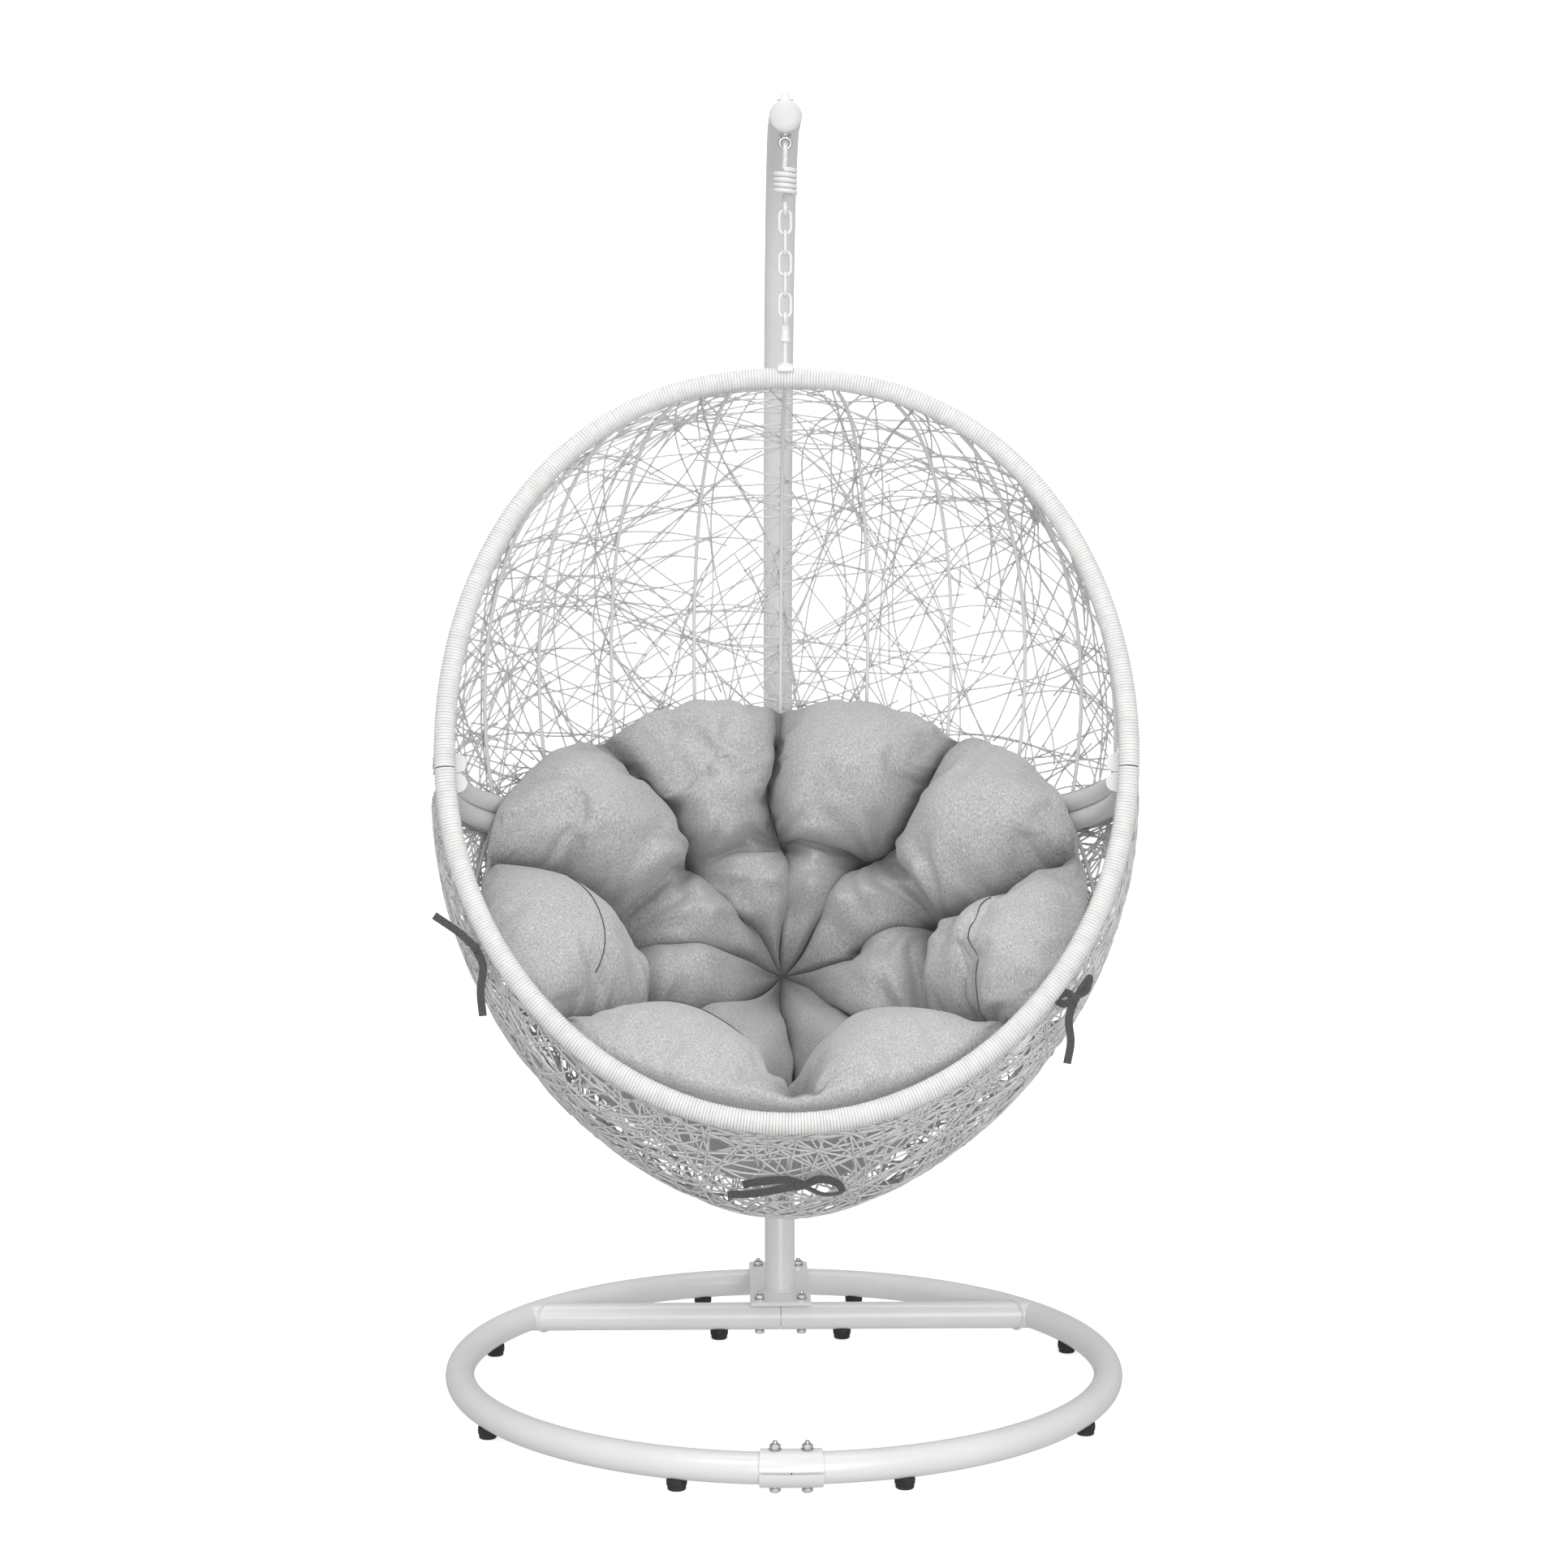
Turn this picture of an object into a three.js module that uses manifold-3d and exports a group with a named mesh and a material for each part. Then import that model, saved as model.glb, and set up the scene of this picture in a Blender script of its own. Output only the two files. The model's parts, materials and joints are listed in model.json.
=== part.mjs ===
// Hanging egg chair: a wicker egg in two halves, a tufted cushion, a chain with a
// tension spring and a swivel, and a bowed post on a two-part ring base.
// Millimetres, +Z up, the open side of the egg faces -Y, the floor is at Z 0.
import * as THREE from 'three';
import * as BufferGeometryUtils from 'three/addons/utils/BufferGeometryUtils.js';
import Module from 'manifold-3d';

const wasm = await Module();
wasm.setup();

// ---- Driving sizes ----
const GAP = 0.3; // between pieces that touch
const TUBE_SIDES = 10; // of the base and post tubes
const RUN_GAP = 0.6; // round a piece that turns or is threaded through

const RING_RADIUS = 480; // centreline of the base ring
const RING_STEPS = 22; // facets along each half of the ring
const RING_TUBE_R = 21;
const RING_WALL = 2;
const CROSSBAR_Y = 270;
const HALF_JOINT = 1; // seam between the two halves of the base
const SPIGOT_LENGTH = 110;
const SPIGOT_WALL = 2;

const FOOT_HEIGHT = 14;
const FOOT_TOP_R = 14;
const FOOT_BASE_R = 12.5;
const FOOT_SADDLE = 6; // how far a foot reaches up the sides of the tube
const FOOT_ANGLES = [18.5, 61.5, 112.5, 165]; // from the front, on both sides
const CROSSBAR_FOOT_X = 97;

const CLAMP_LENGTH = 83;
const CLAMP_WALL = 2.6;
// Between curved tubes that are faceted differently: what a facet of the ring cuts off.
const FACET_GAP = GAP + RING_RADIUS * (1 - Math.cos(Math.PI / (2 * RING_STEPS)));
const SHELL_GAP = 8; // between the faceted weave and the tubes inside it
const CLAMP_SPLIT = 3; // slit between the two shells
const CLAMP_BOLT_PITCH = 43;

const PLATE_WIDTH = 96;
const PLATE_THICKNESS = 6;
const PLATE_OVERHANG = 25; // past the bolts, front and back
const BOLT_PITCH_X = 66;
const BOLT_R = 4;
const BOLT_HEAD_R = 7.6;
const BOLT_HEAD_H = 5.5;
const NUT_HEIGHT = 7;
const NUT_DOME = 5;

const POST_TUBE_R = 24;
const POST_WALL = 2.5;
const POST_Y = 330; // where the post stands on its plate
const POST_BOW = 190; // how far it bows back behind that
const POST_JOINT_Z = 1000;
const ARM_Z = 1880; // centreline of the arm
const ARM_PAST_EYE = 27;
const CAP_DOME = 7;
const CAP_PLUG = 22;

const EYE_DROP = 12; // from the tube's underside to the eye's centre
const EYE_HOLE_R = 5.6;
const EYE_RIM = 5;
const EYE_THICKNESS = 6;
const EYE_SHANK_R = 5;
const EYE_NUT_R = 12;

const SPRING_WIRE_R = 3.6;
const SPRING_COIL_R = 14.5;
const SPRING_PITCH = 7.9;
const SPRING_TURNS = 4.5;
const HOOK_TOP_DROP = 39; // eye to the first turn
const HOOK_END_DROP = 30; // last turn to the bottom of the lower hook

const LINK_COUNT = 5;
const LINK_WIRE_R = 2.6;
const LINK_INNER_LENGTH = 31;
const LINK_INNER_WIDTH = 12;

const SWIVEL_LOOP_R = 8; // mean radius of the loop over the last link
const SWIVEL_WIRE_R = 3;
const SWIVEL_BODY_R = 6.5;
const SWIVEL_COLLAR_R = 8.5;
const SWIVEL_BODY_H = 24;
const SWIVEL_HEAD_R = 4.9;
const SWIVEL_HEAD_H = 4;
const SWIVEL_STEM_R = 3.5;
const SWIVEL_PIN_R = 1.8;
const SADDLE_WIDTH = 22;
const SADDLE_DEPTH = 30;
const SADDLE_THICKNESS = 5;
const SADDLE_WRAP = 9; // how far it reaches down round the rim

const EGG_CENTRE_Y = -120;
const EGG_CENTRE_Z = 898;
const EGG_HALF_WIDTH = 509;
const EGG_HALF_DEPTH = 411;
const EGG_RISE = 604; // from the widest level to the crown
const EGG_DROP = 615; // from the widest level to the keel
const CROWN_FULLNESS = 0.44; // under 0.5 is rounder than an ellipse
const KEEL_FULLNESS = 0.61; // over 0.5 is more pointed
const RIM_TILT = 17.16; // degrees that the opening leans back
const BELT_Z = 945; // where the two halves meet at the opening
const RIM_CENTRE_Y = -253;
const RIM_CORE_R = 12;
const RIM_CORE_WALL = 2;
const RIM_WRAP_R = 15.5;
const RIM_JOINT = 0.35; // degrees left open at each end of a rim half
const BELT_TUBE_R = 14;
const BELT_WALL = 2;
const BELT_END = 87.6; // degrees from the back, where the belt tubes stop at the rim
const WEAVE_END = 86; // degrees, where the weave stops
const WEAVE_THICKNESS = 4;
const RIB_R = 3;
const RIB_COUNT = 13;
const RIB_FAN = 0.45; // how much closer the ribs stand at the rim than at the belt
const RIB_EDGE = 78; // degrees, the outermost ribs

const CUSHION_GAP = 5; // between the cushion and the belt tubes
const CUSHION_THICKNESS = 135;
const CUSHION_TILT = 40.6; // degrees, from its front edge up to its back edge
const CUSHION_CENTRE = new THREE.Vector3(0, -70, 757);
const TIE_WIDTH = 11;
const TIE_THICKNESS = 1.6;

const RING_Z = FOOT_HEIGHT + RING_TUBE_R;
const chair = new THREE.Group();

// ---- Finishes ----
const finish = (color, roughness, metalness = 0) =>
  new THREE.MeshStandardMaterial({ color, roughness, metalness });
const whiteSteel = () => finish(0xf2f2f0, 0.28);
const whiteWicker = () => finish(0xf4f3f0, 0.5);
const zinc = () => finish(0xb9babd, 0.3, 1);
const blackRubber = () => finish(0x161616, 0.75);
const greyFabric = () => finish(0xa3a3a3, 0.95);
const darkFabric = () => finish(0x4f4f50, 0.95);
const capPlastic = () => finish(0xdcdcda, 0.45);

// ---- Helpers ----
const at = (x, y, z) => new THREE.Vector3(x, y, z);
const radians = THREE.MathUtils.degToRad;

function add(name, geometry, material, position = at(0, 0, 0), turn = 0) {
  const mesh = new THREE.Mesh(geometry, material);
  mesh.name = name;
  mesh.position.copy(position);
  mesh.rotation.z = turn;
  chair.add(mesh);
  return mesh;
}

function solid(geometry) {
  const bare = geometry.clone();
  bare.deleteAttribute('normal');
  bare.deleteAttribute('uv');
  const merged = BufferGeometryUtils.mergeVertices(bare, 1e-4);
  const triVerts = Uint32Array.from(merged.index.array);
  const vertProperties = Float32Array.from(merged.attributes.position.array);
  return new wasm.Manifold(new wasm.Mesh({ numProp: 3, vertProperties, triVerts }));
}

function geometryOf(manifold) {
  const mesh = manifold.getMesh();
  const geometry = new THREE.BufferGeometry();
  geometry.setAttribute('position', new THREE.BufferAttribute(mesh.vertProperties, 3));
  geometry.setIndex(new THREE.BufferAttribute(mesh.triVerts, 1));
  geometry.computeVertexNormals();
  return geometry;
}

const joined = (...geometries) => geometryOf(geometries.map(solid).reduce((a, b) => a.add(b)));

function cut(geometry, ...tools) {
  return geometryOf(tools.map(solid).reduce((a, b) => a.subtract(b), solid(geometry)));
}

function polygon(radius, sides, target = new THREE.Shape()) {
  const corner = (k) => {
    const angle = (k * 2 * Math.PI) / sides;
    return [radius * Math.cos(angle), radius * Math.sin(angle)];
  };
  target.moveTo(...corner(0));
  for (let k = 1; k < sides; k += 1) target.lineTo(...corner(k));
  target.closePath();
  return target;
}

function sweep(shape, curve, steps) {
  const options = { steps, extrudePath: curve, bevelEnabled: false, curveSegments: 1 };
  return new THREE.ExtrudeGeometry(shape, options);
}

function tube(curve, radius, steps, sides, wall = 0) {
  const shape = polygon(radius, sides);
  if (wall) shape.holes.push(polygon(radius - wall, sides, new THREE.Path()));
  return sweep(shape, curve, steps);
}

function through(points, closed = false) {
  return new THREE.CatmullRomCurve3(points, closed, 'centripetal');
}

// How far the flats of a faceted tube's bore stand from its axis.
const boreFlat = (radius) => radius * Math.cos(Math.PI / TUBE_SIDES);

// An upright cylinder whose base is at z.
function rod(radius, z, height, sides = 12, x = 0, y = 0, topRadius = radius) {
  const geometry = new THREE.CylinderGeometry(topRadius, radius, height, sides);
  geometry.rotateX(Math.PI / 2);
  return geometry.translate(x, y, z + height / 2);
}

// A cylinder along Y, centred at a point.
function crossRod(radius, length, centre, sides = 12) {
  const geometry = new THREE.CylinderGeometry(radius, radius, length, sides);
  return geometry.translate(centre.x, centre.y, centre.z);
}

function turned(profile, sides = 16) {
  const geometry = new THREE.LatheGeometry(profile.map(([r, z]) => new THREE.Vector2(r, z)), sides);
  return geometry.rotateX(Math.PI / 2);
}

class RingArc extends THREE.Curve {
  constructor(from, to, side) {
    super();
    this.angles = [radians(from), radians(to)];
    this.side = side;
  }
  getPoint(t, target = new THREE.Vector3()) {
    const angle = THREE.MathUtils.lerp(...this.angles, t);
    const x = this.side * RING_RADIUS * Math.sin(angle);
    return target.set(x, -RING_RADIUS * Math.cos(angle), RING_Z);
  }
}

// ---- Base ----
const degreesOnRing = (length) => THREE.MathUtils.radToDeg(length / RING_RADIUS);
const ringBack = RING_RADIUS;
const boltXs = [-BOLT_PITCH_X / 2, BOLT_PITCH_X / 2];
const boltPlaces = [CROSSBAR_Y, ringBack].flatMap((y) => boltXs.map((x) => [x, y]));
const clampBoltPlaces = [-1, 1].map((side) => [(side * CLAMP_BOLT_PITCH) / 2, -RING_RADIUS]);
const holesAt = (places) => places.map(([x, y]) => rod(BOLT_R + GAP, 0, RING_Z * 3, 8, x, y));

function baseHalf(side) {
  const seam = degreesOnRing(HALF_JOINT / 2);
  const arc = tube(new RingArc(seam, 180 - seam, side), RING_TUBE_R, RING_STEPS, TUBE_SIDES, RING_WALL);
  const reach = Math.sqrt(RING_RADIUS ** 2 - CROSSBAR_Y ** 2);
  const bar = new THREE.LineCurve3(
    at((side * HALF_JOINT) / 2, CROSSBAR_Y, RING_Z),
    at(side * (reach - RING_TUBE_R / 2), CROSSBAR_Y, RING_Z),
  );
  const half = joined(arc, tube(bar, RING_TUBE_R, 1, TUBE_SIDES, RING_WALL));
  return cut(half, ...holesAt(boltPlaces), ...holesAt(clampBoltPlaces));
}

add('base_half_left', baseHalf(-1), whiteSteel());
add('base_half_right', baseHalf(1), whiteSteel());

const spigotR = boreFlat(RING_TUBE_R - RING_WALL) - FACET_GAP;
const halfSpigot = degreesOnRing(SPIGOT_LENGTH / 2);
const rearArc = new RingArc(180 - halfSpigot, 180 + halfSpigot, 1);
const rearSpigot = tube(rearArc, spigotR, 4, TUBE_SIDES, SPIGOT_WALL);
add('rear_spigot', cut(rearSpigot, ...holesAt(boltPlaces)), zinc());
const barSpigot = new THREE.LineCurve3(
  at(-SPIGOT_LENGTH / 2, CROSSBAR_Y, RING_Z),
  at(SPIGOT_LENGTH / 2, CROSSBAR_Y, RING_Z),
);
const barSleeve = tube(barSpigot, spigotR, 1, TUBE_SIDES, SPIGOT_WALL);
add('crossbar_spigot', cut(barSleeve, ...holesAt(boltPlaces)), zinc());

// A foot, made for a tube that runs along X above the origin.
function footGeometry() {
  const pad = rod(FOOT_BASE_R, 0, FOOT_HEIGHT + FOOT_SADDLE, 12, 0, 0, FOOT_TOP_R);
  const saddleR = RING_TUBE_R + FACET_GAP;
  const saddle = new THREE.CylinderGeometry(saddleR, saddleR, 4 * FOOT_TOP_R, 20);
  saddle.rotateZ(Math.PI / 2).translate(0, 0, RING_Z);
  return cut(pad, saddle);
}

const feet = [];
for (const side of [-1, 1]) {
  for (const angle of FOOT_ANGLES) {
    const turn = side * radians(angle);
    const place = at(RING_RADIUS * Math.sin(turn), -RING_RADIUS * Math.cos(turn), 0);
    feet.push([place, turn]);
  }
  feet.push([at(side * CROSSBAR_FOOT_X, CROSSBAR_Y, 0), 0]);
}
feet.forEach(([place, turn], k) => add(`foot_${k + 1}`, footGeometry(), blackRubber(), place, turn));

// Half of a split sleeve; across its section, x is down and y is outward.
function clampShell(upper) {
  const inner = RING_TUBE_R + FACET_GAP;
  const outer = inner + CLAMP_WALL;
  const lift = (radius) => Math.asin(CLAMP_SPLIT / 2 / radius);
  const corners = [];
  const steps = 8;
  for (const radius of [outer, inner]) {
    const [from, to] = [lift(radius), Math.PI - lift(radius)];
    for (let k = 0; k <= steps; k += 1) {
      const share = radius === outer ? k / steps : 1 - k / steps;
      const angle = from + (to - from) * share;
      const down = radius * Math.sin(angle) * (upper ? -1 : 1);
      corners.push(new THREE.Vector2(down, radius * Math.cos(angle)));
    }
  }
  const half = degreesOnRing(CLAMP_LENGTH / 2);
  const shell = sweep(new THREE.Shape(corners), new RingArc(-half, half, 1), 5);
  return cut(shell, ...holesAt(clampBoltPlaces));
}

add('front_clamp_upper', clampShell(true), whiteSteel());
add('front_clamp_lower', clampShell(false), whiteSteel());

function boltGeometry(length) {
  const shank = rod(BOLT_R, BOLT_HEAD_H / 2, length + BOLT_HEAD_H / 2, 8);
  return joined(rod(BOLT_HEAD_R, 0, BOLT_HEAD_H, 6), shank);
}

function domeNutGeometry(boreDepth) {
  const body = joined(
    rod(BOLT_HEAD_R, 0, NUT_HEIGHT, 6),
    rod(BOLT_HEAD_R * 0.8, NUT_HEIGHT / 2, NUT_HEIGHT / 2 + NUT_DOME, 8, 0, 0, BOLT_R * 0.9),
  );
  return cut(body, rod(BOLT_R + GAP, -1, boreDepth + 1 + GAP, 8));
}

const clampOuterR = RING_TUBE_R + FACET_GAP + CLAMP_WALL;
[-1, 1].forEach((side, k) => {
  const x = (side * CLAMP_BOLT_PITCH) / 2;
  const base = RING_Z - clampOuterR - GAP - BOLT_HEAD_H;
  const reach = 2 * (clampOuterR + GAP) + NUT_HEIGHT;
  add(`clamp_bolt_${k + 1}`, boltGeometry(reach), zinc(), at(x, -RING_RADIUS, base));
  const top = RING_Z + clampOuterR + GAP;
  add(`clamp_nut_${k + 1}`, domeNutGeometry(NUT_HEIGHT), zinc(), at(x, -RING_RADIUS, top));
});

const plateZ = RING_Z + RING_TUBE_R + GAP;
boltPlaces.forEach(([x, y], k) => {
  const base = RING_Z - RING_TUBE_R - GAP - BOLT_HEAD_H;
  const reach = 2 * RING_TUBE_R + 2 * GAP + PLATE_THICKNESS + NUT_HEIGHT;
  add(`plate_bolt_${k + 1}`, boltGeometry(reach), zinc(), at(x, y, base));
  const top = plateZ + PLATE_THICKNESS + GAP;
  add(`plate_nut_${k + 1}`, domeNutGeometry(NUT_HEIGHT), zinc(), at(x, y, top));
});

// ---- Egg ----
const rimUp = at(0, Math.sin(radians(RIM_TILT)), Math.cos(radians(RIM_TILT)));
const rimBack = at(0, Math.cos(radians(RIM_TILT)), -Math.sin(radians(RIM_TILT)));
const rimCentre = at(0, RIM_CENTRE_Y, BELT_Z);

const levelHeight = (z) => (z > EGG_CENTRE_Z ? EGG_RISE : EGG_DROP);
const fullness = (z) => (z > EGG_CENTRE_Z ? CROWN_FULLNESS : KEEL_FULLNESS);

// Squared size of the egg's level section, as a share of its widest one.
function levelShare(z) {
  const left = 1 - ((z - EGG_CENTRE_Z) / levelHeight(z)) ** 2;
  return left <= 0 ? left : left ** (2 * fullness(z));
}

function eggValue(p) {
  const across = (p.x / EGG_HALF_WIDTH) ** 2 + ((p.y - EGG_CENTRE_Y) / EGG_HALF_DEPTH) ** 2;
  return across - levelShare(p.z);
}

function eggNormal(p) {
  const slope = (step) => eggValue(p.clone().add(step)) - eggValue(p.clone().sub(step));
  const step = 0.5;
  return at(slope(at(step, 0, 0)), slope(at(0, step, 0)), slope(at(0, 0, step))).normalize();
}

// Where a ray from a point inside meets the egg, moved inward by the inset.
function eggPoint(origin, direction, inset = 0) {
  let [near, far] = [0, 2 * EGG_DROP];
  for (let k = 0; k < 40; k += 1) {
    const middle = (near + far) / 2;
    if (eggValue(origin.clone().addScaledVector(direction, middle)) < 0) near = middle;
    else far = middle;
  }
  const p = origin.clone().addScaledVector(direction, near);
  return inset ? p.addScaledVector(eggNormal(p), -inset) : p;
}

// half is 1 for the upper half and -1 for the lower; angles run from its crown or keel.
const sideways = (angle) => at(Math.sin(angle), 0, 0);
const rimDirection = (angle, half) =>
  sideways(angle).addScaledVector(rimUp, half * Math.cos(angle));
const beltDirection = (angle) => sideways(angle).addScaledVector(rimBack, Math.cos(angle));
const fanned = (angle) => angle - (RIB_FAN * Math.sin(2 * angle)) / 2;

// A direction part of the way along a rib, from the rim (0) to the belt (1).
function ribDirection(angle, half, share) {
  const from = rimDirection(fanned(angle), half);
  const turn = new THREE.Quaternion().setFromUnitVectors(from, beltDirection(angle));
  return from.applyQuaternion(new THREE.Quaternion().slerp(turn, share));
}

// The share of a rib's length at which it has come this far from the opening's plane,
// or, from its other end, this far from the belt's plane.
function shareClear(angle, half, distance, fromBelt = false) {
  const plane = fromBelt ? rimUp.clone().multiplyScalar(half) : rimBack;
  let [near, far] = fromBelt ? [1, 0] : [0, 1];
  for (let k = 0; k < 24; k += 1) {
    const middle = (near + far) / 2;
    const p = eggPoint(rimCentre, ribDirection(angle, half, middle)).sub(rimCentre);
    if (p.dot(plane) < distance) near = middle;
    else far = middle;
  }
  return far;
}

function rimCurve(half) {
  const end = 90 - RIM_JOINT;
  const points = [];
  const count = 14;
  for (let k = 0; k <= count; k += 1) {
    const angle = radians(-end + (2 * end * k) / count);
    points.push(eggPoint(rimCentre, rimDirection(angle, half)));
  }
  return through(points);
}

function beltCurve(half) {
  const inset = WEAVE_THICKNESS / 2 + SHELL_GAP + BELT_TUBE_R;
  const lift = half * (BELT_TUBE_R + GAP);
  const origin = rimCentre.clone().addScaledVector(rimUp, lift);
  const points = [];
  const count = 14;
  for (let k = 0; k <= count; k += 1) {
    const angle = radians(BELT_END * (-1 + (2 * k) / count));
    const p = eggPoint(origin, beltDirection(angle), inset);
    points.push(p.addScaledVector(rimUp, lift - p.clone().sub(rimCentre).dot(rimUp)));
  }
  return through(points);
}

function ribCurve(angle, half) {
  const inset = WEAVE_THICKNESS / 2 + SHELL_GAP + RIB_R;
  const start = shareClear(angle, half, RIM_WRAP_R + RIB_R + 2);
  const end = shareClear(angle, half, BELT_TUBE_R, true);
  const points = [];
  const count = 6;
  for (let k = 0; k <= count; k += 1) {
    const share = start + (end - start) * (k / count);
    points.push(eggPoint(rimCentre, ribDirection(angle, half, share), inset));
  }
  return through(points);
}

// A closed solid between two matching grids of points, given row by row.
function blanket(outer, inner) {
  const [rows, columns] = [outer.length, outer[0].length];
  const positions = [...outer.flat(), ...inner.flat()].flatMap((p) => p.toArray());
  const faces = [];
  const quad = (a, b, c, d) => faces.push(a, b, c, a, c, d);
  const under = rows * columns;
  for (let i = 0; i + 1 < rows; i += 1) {
    for (let j = 0; j + 1 < columns; j += 1) {
      const a = i * columns + j;
      quad(a, a + 1, a + columns + 1, a + columns);
      quad(under + a, under + a + columns, under + a + columns + 1, under + a + 1);
    }
  }
  const edge = (a, b) => quad(b, a, under + a, under + b);
  for (let j = 0; j + 1 < columns; j += 1) {
    edge(j, j + 1);
    edge((rows - 1) * columns + j + 1, (rows - 1) * columns + j);
  }
  for (let i = 0; i + 1 < rows; i += 1) {
    edge((i + 1) * columns, i * columns);
    edge(i * columns + columns - 1, (i + 1) * columns + columns - 1);
  }
  const geometry = new THREE.BufferGeometry();
  geometry.setAttribute('position', new THREE.Float32BufferAttribute(positions, 3));
  geometry.setIndex(faces);
  return geometry;
}

function outward(geometry) {
  if (solid(geometry).volume() > 0) return geometry;
  const flipped = geometry.clone();
  flipped.setIndex(Array.from(geometry.index.array).reverse());
  return flipped;
}

function weaveShell(half) {
  const [rows, columns] = [10, 20];
  const grid = (inset) => {
    const lines = [];
    for (let i = 0; i <= rows; i += 1) {
      const line = [];
      for (let j = 0; j <= columns; j += 1) {
        const angle = radians(WEAVE_END * (-1 + (2 * j) / columns));
        const start = shareClear(angle, half, RIM_WRAP_R + 2);
        const end = shareClear(angle, half, 1, true);
        const share = start + (end - start) * (i / rows);
        line.push(eggPoint(rimCentre, ribDirection(angle, half, share), inset));
      }
      lines.push(line);
    }
    return lines;
  };
  const shell = blanket(grid(-WEAVE_THICKNESS / 2), grid(WEAVE_THICKNESS / 2));
  if (half < 0) shell.setIndex(Array.from(shell.index.array).reverse());
  shell.computeVertexNormals();
  return shell;
}

for (const [name, half] of [['upper', 1], ['lower', -1]]) {
  const rim = rimCurve(half);
  add(`${name}_rim_core`, tube(rim, RIM_CORE_R, 22, 8, RIM_CORE_WALL), whiteSteel());
  const wrapWall = RIM_WRAP_R - RIM_CORE_R - GAP;
  add(`${name}_rim_wrap`, tube(rim, RIM_WRAP_R, 22, 8, wrapWall), whiteWicker());
  const cage = [tube(beltCurve(half), BELT_TUBE_R, 18, 8, BELT_WALL)];
  for (let k = 0; k < RIB_COUNT; k += 1) {
    const angle = radians(RIB_EDGE * (-1 + (2 * k) / (RIB_COUNT - 1)));
    cage.push(tube(ribCurve(angle, half), RIB_R, 6, 4));
  }
  add(`${name}_cage`, joined(...cage), whiteSteel());
  add(`${name}_weave`, weaveShell(half), whiteWicker());
}

// ---- Post ----
const crown = eggPoint(rimCentre, rimUp);
const hangY = crown.y;
const bowY = POST_Y + POST_BOW;
const armEndY = hangY - ARM_PAST_EYE;
const postCurve = through([
  at(0, POST_Y, plateZ),
  at(0, POST_Y + POST_BOW * 0.12, ARM_Z * 0.13),
  at(0, POST_Y + POST_BOW * 0.47, ARM_Z * 0.28),
  at(0, POST_Y + POST_BOW * 0.88, ARM_Z * 0.45),
  at(0, bowY, ARM_Z * 0.58),
  at(0, POST_Y + POST_BOW * 0.83, ARM_Z * 0.735),
  at(0, POST_Y + POST_BOW * 0.34, ARM_Z * 0.873),
  at(0, POST_Y - POST_BOW * 0.5, ARM_Z * 0.965),
  at(0, hangY + 150, ARM_Z - 1),
  at(0, hangY + 60, ARM_Z),
  at(0, armEndY, ARM_Z),
]);

class PartOf extends THREE.Curve {
  constructor(whole, from, to) {
    super();
    Object.assign(this, { whole, from, to });
  }
  getPoint(t, target = new THREE.Vector3()) {
    return this.whole.getPointAt(THREE.MathUtils.lerp(this.from, this.to, t), target);
  }
}

// The share of the post's length at which it reaches a height.
function shareAtHeight(curve, z) {
  let [low, high] = [0, 0.6];
  for (let k = 0; k < 30; k += 1) {
    const middle = (low + high) / 2;
    if (curve.getPointAt(middle).z < z) low = middle;
    else high = middle;
  }
  return low;
}

const postJoint = shareAtHeight(postCurve, POST_JOINT_Z);
const postLength = postCurve.getLength();
const postSeam = GAP / postLength;
const postSpigotHalf = SPIGOT_LENGTH / 2 / postLength;
const plateFront = CROSSBAR_Y - PLATE_OVERHANG;
const plateDepth = ringBack + PLATE_OVERHANG - plateFront;

function postPlate() {
  const plate = new THREE.BoxGeometry(PLATE_WIDTH, plateDepth, PLATE_THICKNESS);
  return plate.translate(0, plateFront + plateDepth / 2, plateZ + PLATE_THICKNESS / 2);
}

const lowerCurve = new PartOf(postCurve, 0, postJoint - postSeam);
const lowerTube = tube(lowerCurve, POST_TUBE_R, 9, TUBE_SIDES, POST_WALL);
const postBore = rod(POST_TUBE_R - POST_WALL - 1, plateZ - 1, PLATE_THICKNESS, TUBE_SIDES, 0, POST_Y);
add('post_lower', cut(joined(lowerTube, postPlate()), ...holesAt(boltPlaces), postBore), whiteSteel());

const upperCurve = new PartOf(postCurve, postJoint + postSeam, 1);
const upperTube = tube(upperCurve, POST_TUBE_R, 18, TUBE_SIDES, POST_WALL);
const eyeHole = rod(EYE_SHANK_R + GAP, ARM_Z - 2 * POST_TUBE_R, 4 * POST_TUBE_R, 10, 0, hangY);
add('post_upper', cut(upperTube, eyeHole), whiteSteel());

const postSpigotR = boreFlat(POST_TUBE_R - POST_WALL) - FACET_GAP;
const postSpigotCurve = new PartOf(postCurve, postJoint - postSpigotHalf, postJoint + postSpigotHalf);
add('post_spigot', tube(postSpigotCurve, postSpigotR, 4, TUBE_SIDES, SPIGOT_WALL), zinc());

const plugR = boreFlat(POST_TUBE_R - POST_WALL) - 2 * GAP;
const eyeRoom = ARM_PAST_EYE - EYE_SHANK_R - GAP;
const capGeometry = turned([
  [0, CAP_DOME],
  [POST_TUBE_R * 0.55, CAP_DOME * 0.8],
  [POST_TUBE_R * 0.9, CAP_DOME * 0.4],
  [POST_TUBE_R, 0],
  [POST_TUBE_R, -0.01],
  [plugR, -0.01],
  [plugR, -Math.min(CAP_PLUG, eyeRoom) + 2],
  [0, -Math.min(CAP_PLUG, eyeRoom) + 2],
].reverse());
capGeometry.rotateX(Math.PI / 2).translate(0, armEndY - 2 * GAP, ARM_Z);
add('arm_end_cap', capGeometry, capPlastic());

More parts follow.
